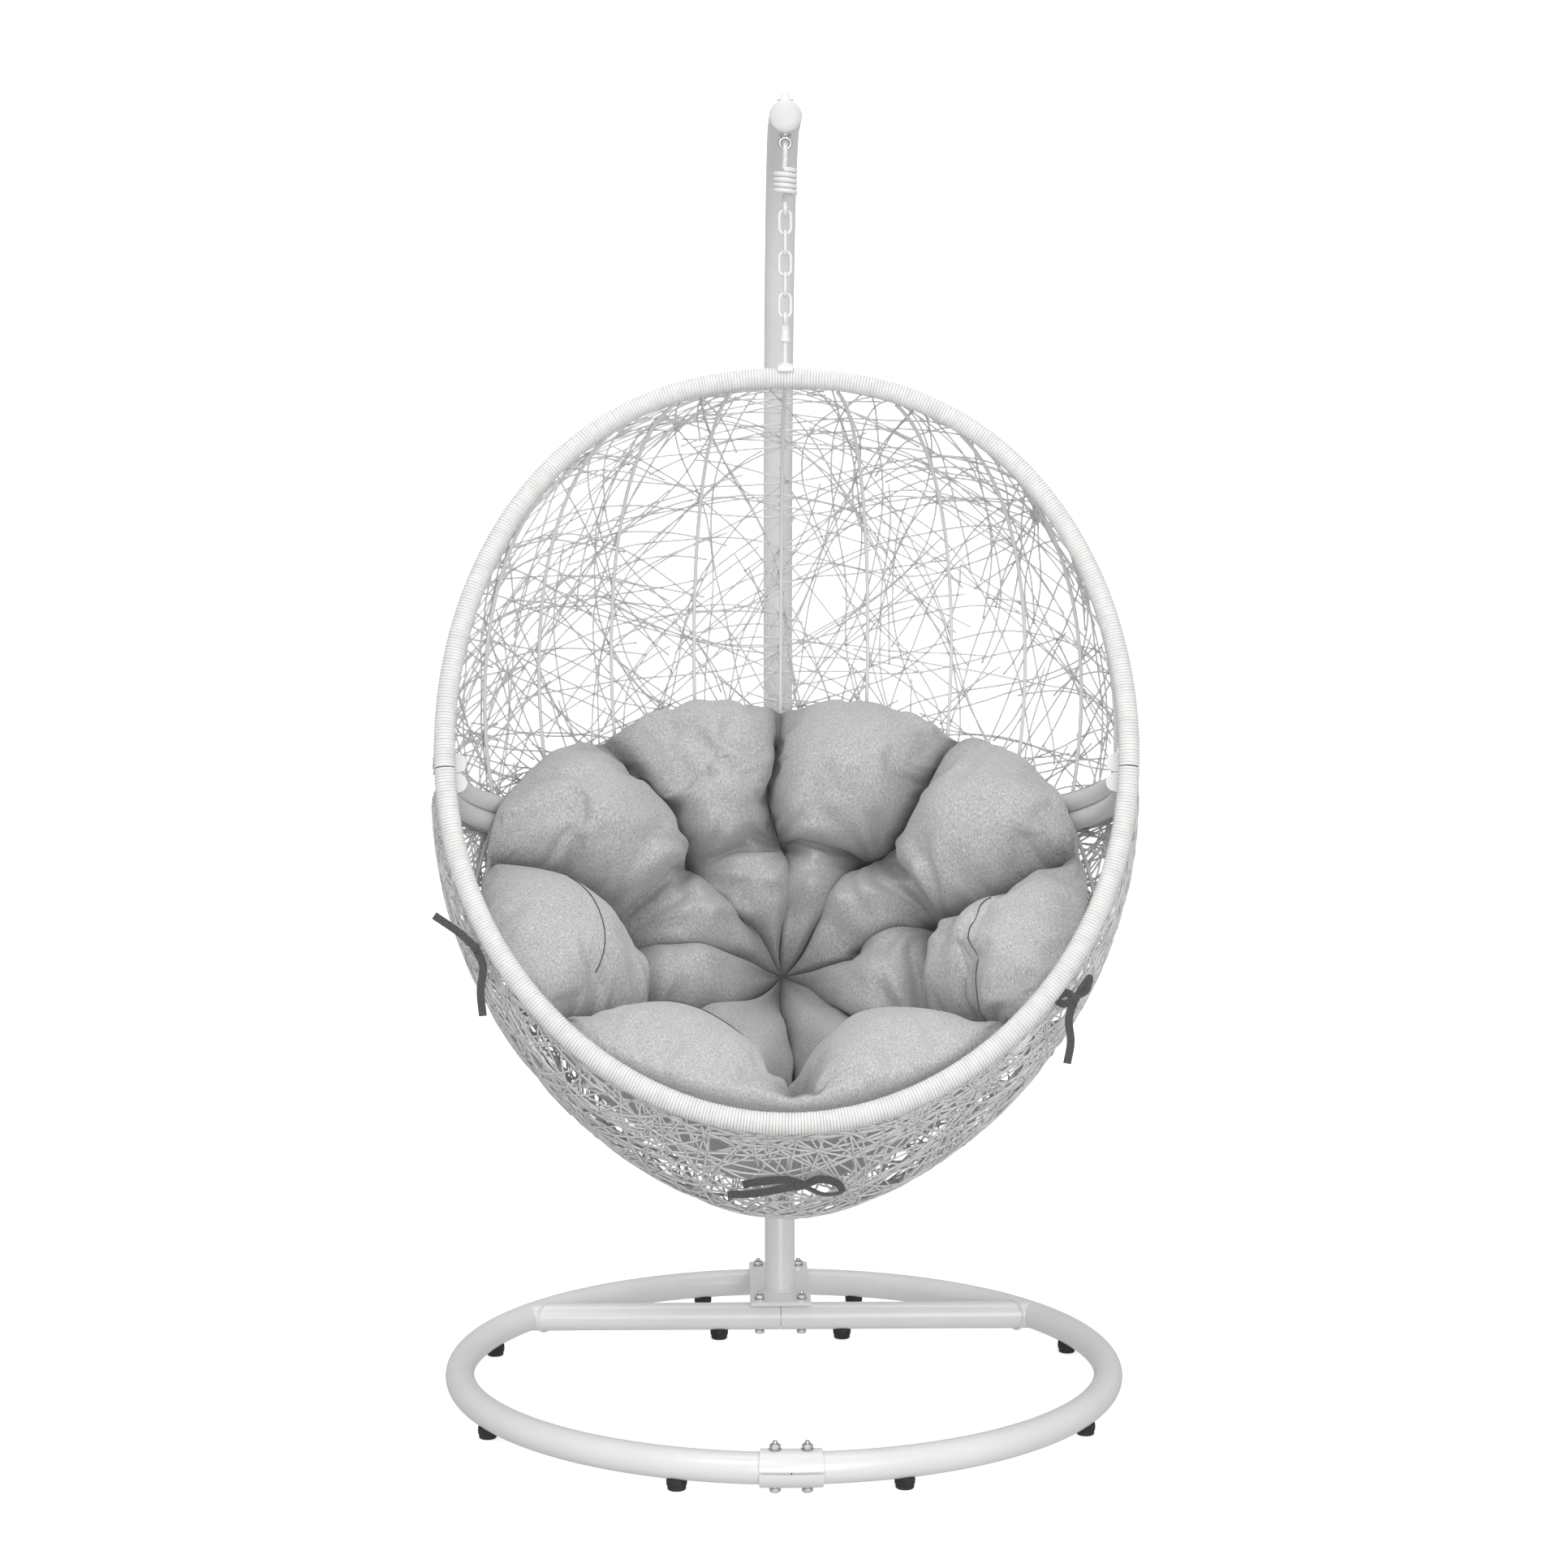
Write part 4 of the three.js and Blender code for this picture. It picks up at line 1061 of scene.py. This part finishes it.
def chain():
    shape = link_shape()
    for name, body, numbers in (("top_link", "chain_top", [1]), ("links", "chain", [2, 3, 4, 5])):
        places, turns = [], []
        for number in numbers:
            low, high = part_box(f"chain_link_{number}")
            places.append([(a + b) / 2 for a, b in zip(low, high)])
            turns.append((0, 0, 0 if number % 2 else math.pi / 2))
        piece = placed(name, shape, places, COAT, turns)
        nodes = [f"chain_link_{number}" for number in numbers]
        finished(piece, body, "white_steel", *nodes, sharp=180)


def swivel():
    low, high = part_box("swivel_eye")
    loop_r, wire = 0.008, 0.003
    loop_z = high[2] - wire - loop_r
    body_top = loop_z - loop_r - wire / 2
    collar_low = low[2]
    body = [
        (0.0, body_top + 0.002),
        (0.004, body_top + 0.0015),
        (0.006, body_top - 0.003),
        (0.0065, body_top - 0.007),
        (0.0065, collar_low + 0.0055),
        (0.0078, collar_low + 0.0042),
        (0.0085, collar_low + 0.003),
        (0.0085, collar_low + 0.0006),
        (0.008, collar_low),
        (0.0042, collar_low),
        (0.0042, collar_low + 0.003),
        (0.0, collar_low + 0.003),
    ]
    shape = together(
        ring_of(loop_r, wire, (0, HANG_Y, loop_z), "x"),
        turned(body[::-1], 32, (0, HANG_Y, 0)),
    )
    finished(as_object("swivel", *shape), "chain", "white_steel", "swivel_eye", sharp=50)
    pin_low, pin_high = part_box("swivel_pin")
    pin_y = (pin_high[1] - pin_low[1]) / 2
    pin_z = (pin_low[2] + pin_high[2]) / 2
    profile = [(0.0, -pin_y), (0.0012, -pin_y), (0.0018, -pin_y + 0.0006)]
    profile += [(0.0018, pin_y - 0.0006), (0.0012, pin_y), (0.0, pin_y)]
    pin = turned(profile, 16, (0, HANG_Y, pin_z), along="y")
    finished(as_object("cross_pin", *pin), "chain", "zinc", "swivel_pin")


STEM_R = 0.0035
SADDLE_WALL = 0.0048
SADDLE_HALF = 0.011


def hanger():
    """The turning stem and the saddle over the rim."""
    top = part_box("hanger_stem")[1][2]
    crown = egg_points(RIM_CENTRE, rim_directions(np.zeros(1), 1))[0]
    saddle_r = RIM_WRAP_R + 2 * FIT
    saddle_top = crown[2] + RIM_WRAP_R + FIT + 0.005
    stem = [(0.0, saddle_top - 0.002), (0.009, saddle_top - 0.002), (0.008, saddle_top + 0.001)]
    stem += [(STEM_R, saddle_top + 0.003), (STEM_R, top), (0.0, top)]
    turn = np.linspace(math.radians(-62), math.radians(62), 25)
    outer = [(saddle_r + SADDLE_WALL) * np.array([math.sin(a), math.cos(a)]) for a in turn]
    inner = [saddle_r * np.array([math.sin(a), math.cos(a)]) for a in turn[::-1]]
    x = np.linspace(-SADDLE_HALF, SADDLE_HALF, 9)
    line = np.stack([x, 0 * x + crown[1], 0 * x + crown[2]], axis=1)
    band = swept(line, np.array(outer + inner)[::-1])
    shape = together(turned(stem, 28, (0, HANG_Y, 0)), band)
    piece = as_object("hanger", *shape)
    finished(piece, "basket", "white_steel", "hanger_stem")


# ---- Cushion ----
SEAT_UP = np.array([0, math.cos(PAD_TILT), math.sin(PAD_TILT)])
SEAT_DEEP = np.array([0, math.sin(PAD_TILT), -math.cos(PAD_TILT)])
PAD_CENTRE = np.array([0, RING_Y + PAD_BACK, PAD_Z])
PAD_POLE_TILT = PAD_TILT + math.radians(14)  # towards its middle tuft
PAD_POLE = np.array([0, math.sin(PAD_POLE_TILT), -math.cos(PAD_POLE_TILT)])
CREASES = np.radians([91, 48, 6, -40, -90, -141, 175, 131])  # round the pad, from its right
FOLD_RISE = 0.0115  # of the small folds round the tufts
FOLD_REACH = 0.26
TUFT_RING = 0.53  # the ring of tufts, as a share of the way from the middle to the edge
PAD_RINGS, PAD_SPOKES = 72, 256
PAD_PRESSURE = 9.0
PAD_SPARE_CLOTH = 0.12
PAD_SWELL = 0.034  # the farthest that filling moves the cloth
PAD_FRAMES = 20
PAD_SEAM_SHARE = 0.9
SEAM_THREAD_R = 0.0008


def over_shares():
    """The rows of the pad's top, closer together towards the edge."""
    return 0.02 + 0.98 * np.sin(np.linspace(math.pi / 2, 0, PAD_RINGS))


def lobe_phase(shares, turns):
    """0 on a crease and 1 on the next; the creases wander a little on their way out."""
    turns = turns + CREASE_WANDER * np.sin(9 * shares + 2 * np.sin(3 * turns)) * (1.1 - shares)
    edges = np.sort(np.mod(CREASES, 2 * np.pi))
    edges = np.concatenate([[edges[-1] - 2 * np.pi], edges, [edges[0] + 2 * np.pi]])
    turns = np.mod(turns, 2 * np.pi)
    index = np.clip(np.searchsorted(edges, turns, side="right") - 1, 0, len(edges) - 2)
    return (turns - edges[index]) / (edges[index + 1] - edges[index])


def pad_height(shares, turns):
    """How full the pad stands over its underside, from 0 in a tuft to 1 on a lobe."""
    across = np.sin(np.pi * lobe_phase(shares, turns)) ** 0.66
    middle = np.clip(shares / 0.34, 0, 1) ** 0.75
    valley = np.exp(-(((shares - TUFT_RING) / 0.07) ** 2))
    soft = 0.5 * np.clip(1 - shares / TUFT_RING, 0, 1) * (1 + np.sin(2 * turns + 2.4)) / 2
    outer = np.clip((shares - TUFT_RING) / (1 - TUFT_RING), 0, 1)
    crest = (soft + (1 - soft) * across) * middle * (0.72 + 0.28 * np.sin(np.pi * outer / 2))
    return crest * (1 - valley * (0.4 + 0.5 * (1 - across)))


def pull_folds(shares, turns):
    """Small folds that fan out from the ring's tufts, in metres."""
    places = np.stack([shares * np.cos(turns), shares * np.sin(turns)], axis=-1)
    rise = 0 * turns
    for k, crease in enumerate(CREASES):
        tuft = TUFT_RING * np.array([math.cos(crease), math.sin(crease)])
        x, y = np.moveaxis(places - tuft, -1, 0)
        reach = np.hypot(x, y)
        fan = np.arctan2(y, x) * (9 + k % 3) + 5 * np.sin(7 * reach + k) + k
        fading = np.exp(-((reach / FOLD_REACH) ** 2))
        rise = rise + FOLD_RISE * fading * np.sin(fan) * np.clip(reach / 0.1, 0, 1)
    return rise


def pad_points(shares, turns, inset):
    side = np.cos(turns)[..., None] * np.array([1.0, 0, 0]) + np.sin(turns)[..., None] * SEAT_UP
    notch = (1 - np.sin(np.pi * lobe_phase(1, turns)) ** 0.5)[..., None]
    reach = PAD_EDGE - PAD_BACK_DROP * np.clip(np.sin(turns), 0, 1)[..., None] ** 2
    reach = reach - PAD_NOTCH * notch
    edge = np.sin(reach) * side + np.cos(reach) * SEAT_DEEP
    return egg_points(PAD_CENTRE, between(PAD_POLE + 0 * edge, edge, shares), inset)


def pad_grid():
    """The pad before it is filled: rows from the underside's middle over the edge to the top's."""
    turns = np.linspace(0, 2 * np.pi, PAD_SPOKES, endpoint=False)
    under = np.linspace(0.04, 1, 22)
    over = over_shares()
    rows = []
    for share in under:
        rows.append(pad_points(np.full(PAD_SPOKES, share), turns, 0 * turns + PAD_INSET))
    for share in over:
        full = pad_height(np.full(PAD_SPOKES, share), turns)
        end = max(share - PAD_ROUNDED, 0) / (1 - PAD_ROUNDED)
        edge = math.sqrt(max(1 - end**2, 0.0))
        folds = pull_folds(np.full(PAD_SPOKES, share), turns)
        rise = PAD_SEAM + (PAD_CREST * full + folds) * edge
        rows.append(pad_points(np.full(PAD_SPOKES, share), turns, PAD_INSET + rise))
    return rows, len(under)


def pad_mesh():
    rows, first_top = pad_grid()
    vertices = [tuple(point) for row in rows for point in row]
    faces = []
    for i in range(len(rows) - 1):
        for j in range(PAD_SPOKES):
            a, b = i * PAD_SPOKES + j, i * PAD_SPOKES + (j + 1) % PAD_SPOKES
            faces.append((a, b, b + PAD_SPOKES, a + PAD_SPOKES))
    for row, flip in ((0, -1), (len(rows) - 1, 1)):
        middle = len(vertices)
        ring = [row * PAD_SPOKES + j for j in range(PAD_SPOKES)]
        vertices.append(tuple(np.mean([vertices[k] for k in ring], axis=0)))
        for j in range(PAD_SPOKES):
            faces.append((ring[j], ring[(j + 1) % PAD_SPOKES], middle)[::flip])
    return as_object("pad", vertices, faces), first_top


def held_points(first_top):
    """What the cloth may not move: the underside, the tufts and the creases' deepest lines."""
    held = list(range(first_top * PAD_SPOKES))
    turns = np.linspace(0, 2 * np.pi, PAD_SPOKES, endpoint=False)
    for i, share in enumerate(over_shares()):
        row = (first_top + i) * PAD_SPOKES
        phase = lobe_phase(share, turns)
        on_crease = np.minimum(phase, 1 - phase) < 0.018
        near_tuft = abs(share - TUFT_RING) < 0.02 or share < 0.05
        creased = TUFT_RING < share < 0.99
        for j in range(PAD_SPOKES):
            if on_crease[j] and (creased or near_tuft):
                held.append(row + j)
    return held


def evened(shift, first_top):
    """The cloth's movement, smoothed round the middle, where the spokes crowd."""
    for i, share in enumerate(over_shares()):
        start = (first_top + i) * PAD_SPOKES
        row = shift[start : start + PAD_SPOKES].copy()
        span = int(0.8 / share)
        turned_rows = [np.roll(row, k, axis=0) for k in range(-span, span + 1)]
        shift[start : start + PAD_SPOKES] = np.mean(turned_rows, axis=0) * min(1, share / 0.3)
    return shift


def fill_pad(piece, first_top):
    """Blows the pad up between its tufts, as filling does, with cloth to spare for folds."""
    group = piece.vertex_groups.new(name="held")
    group.add(held_points(first_top), 1.0, "ADD")
    cloth = piece.modifiers.new("cloth", "CLOTH")
    cloth.settings.vertex_group_mass = "held"
    cloth.settings.use_pressure = True
    cloth.settings.uniform_pressure_force = PAD_PRESSURE
    cloth.settings.shrink_min = -PAD_SPARE_CLOTH
    cloth.settings.mass = 0.4
    cloth.settings.tension_stiffness = 30
    cloth.settings.compression_stiffness = 30
    cloth.settings.bending_stiffness = 0.35
    cloth.settings.quality = 6
    cloth.settings.effector_weights.gravity = 0
    cloth.point_cache.frame_start = 1
    cloth.point_cache.frame_end = PAD_FRAMES + 4
    before = np.array([vertex.co for vertex in piece.data.vertices])
    scene = bpy.context.scene
    for step in range(1, PAD_FRAMES + 1):
        scene.frame_set(step)
    graph = bpy.context.evaluated_depsgraph_get()
    after = np.array([vertex.co for vertex in piece.evaluated_get(graph).data.vertices])
    piece.modifiers.remove(cloth)
    piece.vertex_groups.remove(group)
    shift = evened(after - before, first_top)
    length = np.linalg.norm(shift, axis=1)[:, None]
    shift *= np.minimum(1, PAD_SWELL / np.maximum(length, 1e-9))
    piece.data.vertices.foreach_set("co", (before + shift).ravel())
    piece.data.update()
    scene.frame_set(1)


def seam_line(piece, first_top, share, lift):
    """A row of the pad's top, lifted a little along its normals."""
    row = first_top + int(np.argmin(np.abs(over_shares() - share)))
    vertices = piece.data.vertices
    line = []
    for j in range(PAD_SPOKES):
        vertex = vertices[row * PAD_SPOKES + j]
        line.append(np.array(vertex.co) + lift * np.array(vertex.normal))
    return np.array(line)


def mark_fullness(piece, first_top):
    """Stores how full the pad is at each point, for the painted shade that darkens its cloth in the
    creases and tufts.
    """
    turns = np.linspace(0, 2 * np.pi, PAD_SPOKES, endpoint=False)
    fullness = np.ones(len(piece.data.vertices))
    for i, share in enumerate(over_shares()):
        start = (first_top + i) * PAD_SPOKES
        fullness[start : start + PAD_SPOKES] = pad_height(np.full(PAD_SPOKES, share), turns)
    fullness[-1] = 0
    piece.data.attributes.new("fullness", "FLOAT", "POINT").data.foreach_set("value", fullness)


def cushion():
    piece, first_top = pad_mesh()
    mark_fullness(piece, first_top)
    fill_pad(piece, first_top)
    seam = seam_line(piece, first_top, PAD_SEAM_SHARE, 0.0006)
    lobes = [seam[int(PAD_SPOKES * a / 360) : int(PAD_SPOKES * b / 360)] for a, b in SEAMED]
    stitch = as_object("pad_seam", *together(*[tube(line, SEAM_THREAD_R, 8) for line in lobes]))
    smooth = piece.modifiers.new("round", "SUBSURF")
    smooth.levels = smooth.render_levels = 1
    finished(piece, "basket", "grey_fabric", "cushion", material=CLOTH, sharp=180)
    finished(stitch, "basket", "dark_fabric", material=THREAD, sharp=180)


# ---- Ties ----
TIE_WIDTH = 0.011
TIE_THIN = 0.0012


def inside(node, x, y, z):
    """A point inside a CAD node's box, as shares of its width, depth and height."""
    low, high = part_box(node)
    return tuple(a + share * (b - a) for a, b, share in zip(low, high, (x, y, z)))


def tie(node, *strips):
    """The ribbons of one tie, each through points given as shares of the CAD tie's box."""
    knot = inside(node, *strips[0][0])
    lines = [through([inside(node, *point) for point in strip], 50) for strip in strips]
    profile = circle(TIE_WIDTH / 2, 12, TIE_THIN / TIE_WIDTH)
    ribbons = together(*[swept(line, profile, up=(0, 1, 0)) for line in lines])
    piece = as_object(f"{node}_ribbon", *ribbons)
    finished(piece, "basket", "dark_fabric", node)
    ball = [(0.0, -0.006), (0.0055, -0.0045), (0.0075, 0.0), (0.0055, 0.0045), (0.0, 0.006)]
    wrapped = as_object(f"{node}_knot", *turned(ball, 16, knot))
    finished(wrapped, "basket", "dark_fabric", material=RIBBON)


def ties():
    knot = (0.76, 0.5, 0.67)
    tie(
        "tie_left",
        [knot, (0.5, 0.3, 0.8), (0.04, 0.6, 0.97)],
        [knot, (0.9, 0.2, 0.5), (0.86, 0.4, 0.25), (0.9, 0.5, 0.02)],
    )
    knot = (0.5, 0.4, 0.72)
    tie(
        "tie_right",
        [knot, (0.8, 0.1, 0.86), (1.0, 0.5, 0.94), (0.9, 0.9, 0.8), (0.6, 0.6, 0.74)],
        [knot, (0.2, 0.1, 0.78), (-0.1, 0.5, 0.72), (0.1, 0.9, 0.66), (0.45, 0.6, 0.7)],
        [knot, (0.3, 0.2, 0.5), (0.36, 0.5, 0.25), (0.24, 0.5, 0.02)],
    )
    knot = (0.68, 0.2, 0.75)
    tie(
        "tie_front",
        [knot, (0.5, 0.0, 0.6), (0.25, 0.3, 0.1), (-0.02, 0.7, -0.15)],
        [knot, (0.52, 0.0, 1.25), (0.3, 0.3, 1.05), (0.12, 0.7, 0.65)],
        [
            knot,
            (0.8, 0.0, 1.3),
            (0.98, 0.4, 0.8),
            (1.02, 0.6, 0.1),
            (0.86, 0.5, -0.1),
            (0.7, 0.4, 0.5),
        ],
    )


# ---- Studio ----
LAMPS = (  # name, place, power in watts, size
    ("key", (-1.4, -3.6, 4.2), 58, 2.0),
    ("fill", (1.4, -5.0, 2.2), 62, 2.0),
    ("front", (0.3, -5.4, 0.45), 88, 2.4),
    ("top", (0.0, 0.4, 4.6), 46, 2.4),
)


def studio():
    back, side, top = 9.0, 6.0, 9.0
    corners = [(-side, -side, 0), (side, -side, 0), (side, back, 0), (-side, back, 0)]
    floor = as_object("floor", corners, [(0, 1, 2, 3)])
    floor.data.materials.append(paper("floor_white", 0.62))
    corners = [(-side, back, 0), (side, back, 0), (side, back, top), (-side, back, top)]
    wall = as_object("backdrop", corners, [(0, 1, 2, 3)])
    wall.data.materials.append(paper("wall_white", 1.0))
    for screen in (floor, wall):
        screen.visible_diffuse = screen.visible_glossy = False
    world = bpy.data.worlds.new("studio")
    world.use_nodes = True
    backdrop = world.node_tree.nodes["Background"]
    backdrop.inputs["Color"].default_value = (1, 1, 1, 1)
    backdrop.inputs["Strength"].default_value = 0.52
    bpy.context.scene.world = world
    for name, place, power, size in LAMPS:
        lamp = bpy.data.lights.new(name, "AREA")
        lamp.energy, lamp.size = power, size
        light = bpy.data.objects.new(name, lamp)
        light.location = place
        aim = Vector((0, RING_Y, 0.8)) - Vector(place)
        light.rotation_euler = aim.to_track_quat("-Z", "Y").to_euler()
        bpy.context.scene.collection.objects.link(light)


CAMERA_DISTANCE = 4.382
CAMERA_HEIGHT = 1.29
CAMERA_LENS = 67.547
CAMERA_SHIFT = -0.167


def camera():
    lens = bpy.data.cameras.new("camera")
    lens.sensor_width = 36
    lens.lens = CAMERA_LENS
    lens.shift_y = CAMERA_SHIFT
    lens.clip_end = 100
    eye_point = Vector((-0.088, RING_Y - CAMERA_DISTANCE, CAMERA_HEIGHT))
    aim = Vector((0, RING_Y, CAMERA_HEIGHT)) - eye_point
    holder = bpy.data.objects.new("camera", lens)
    holder.location = eye_point
    holder.rotation_euler = aim.to_track_quat("-Z", "Y").to_euler()
    bpy.context.scene.collection.objects.link(holder)
    bpy.context.scene.camera = holder
    bpy.context.scene.view_settings.view_transform = "Standard"


def carried_over():
    """The CAD nodes that still show, or lie inside, get their finish."""
    slots = {part["node"]: part["material_slot"] for part in frame["record"]["subparts"]}
    for name, node in frame["nodes"].items():
        for index in range(len(node.material_slots)):
            node.material_slots[index].material = SLOTS[slots[name]]


camera()
studio()
base_frame()
feet()
clamp()
fasteners()
post()
arm_end()
eye()
spring()
chain()
swivel()
hanger()
basket()
cushion()
ties()
carried_over()
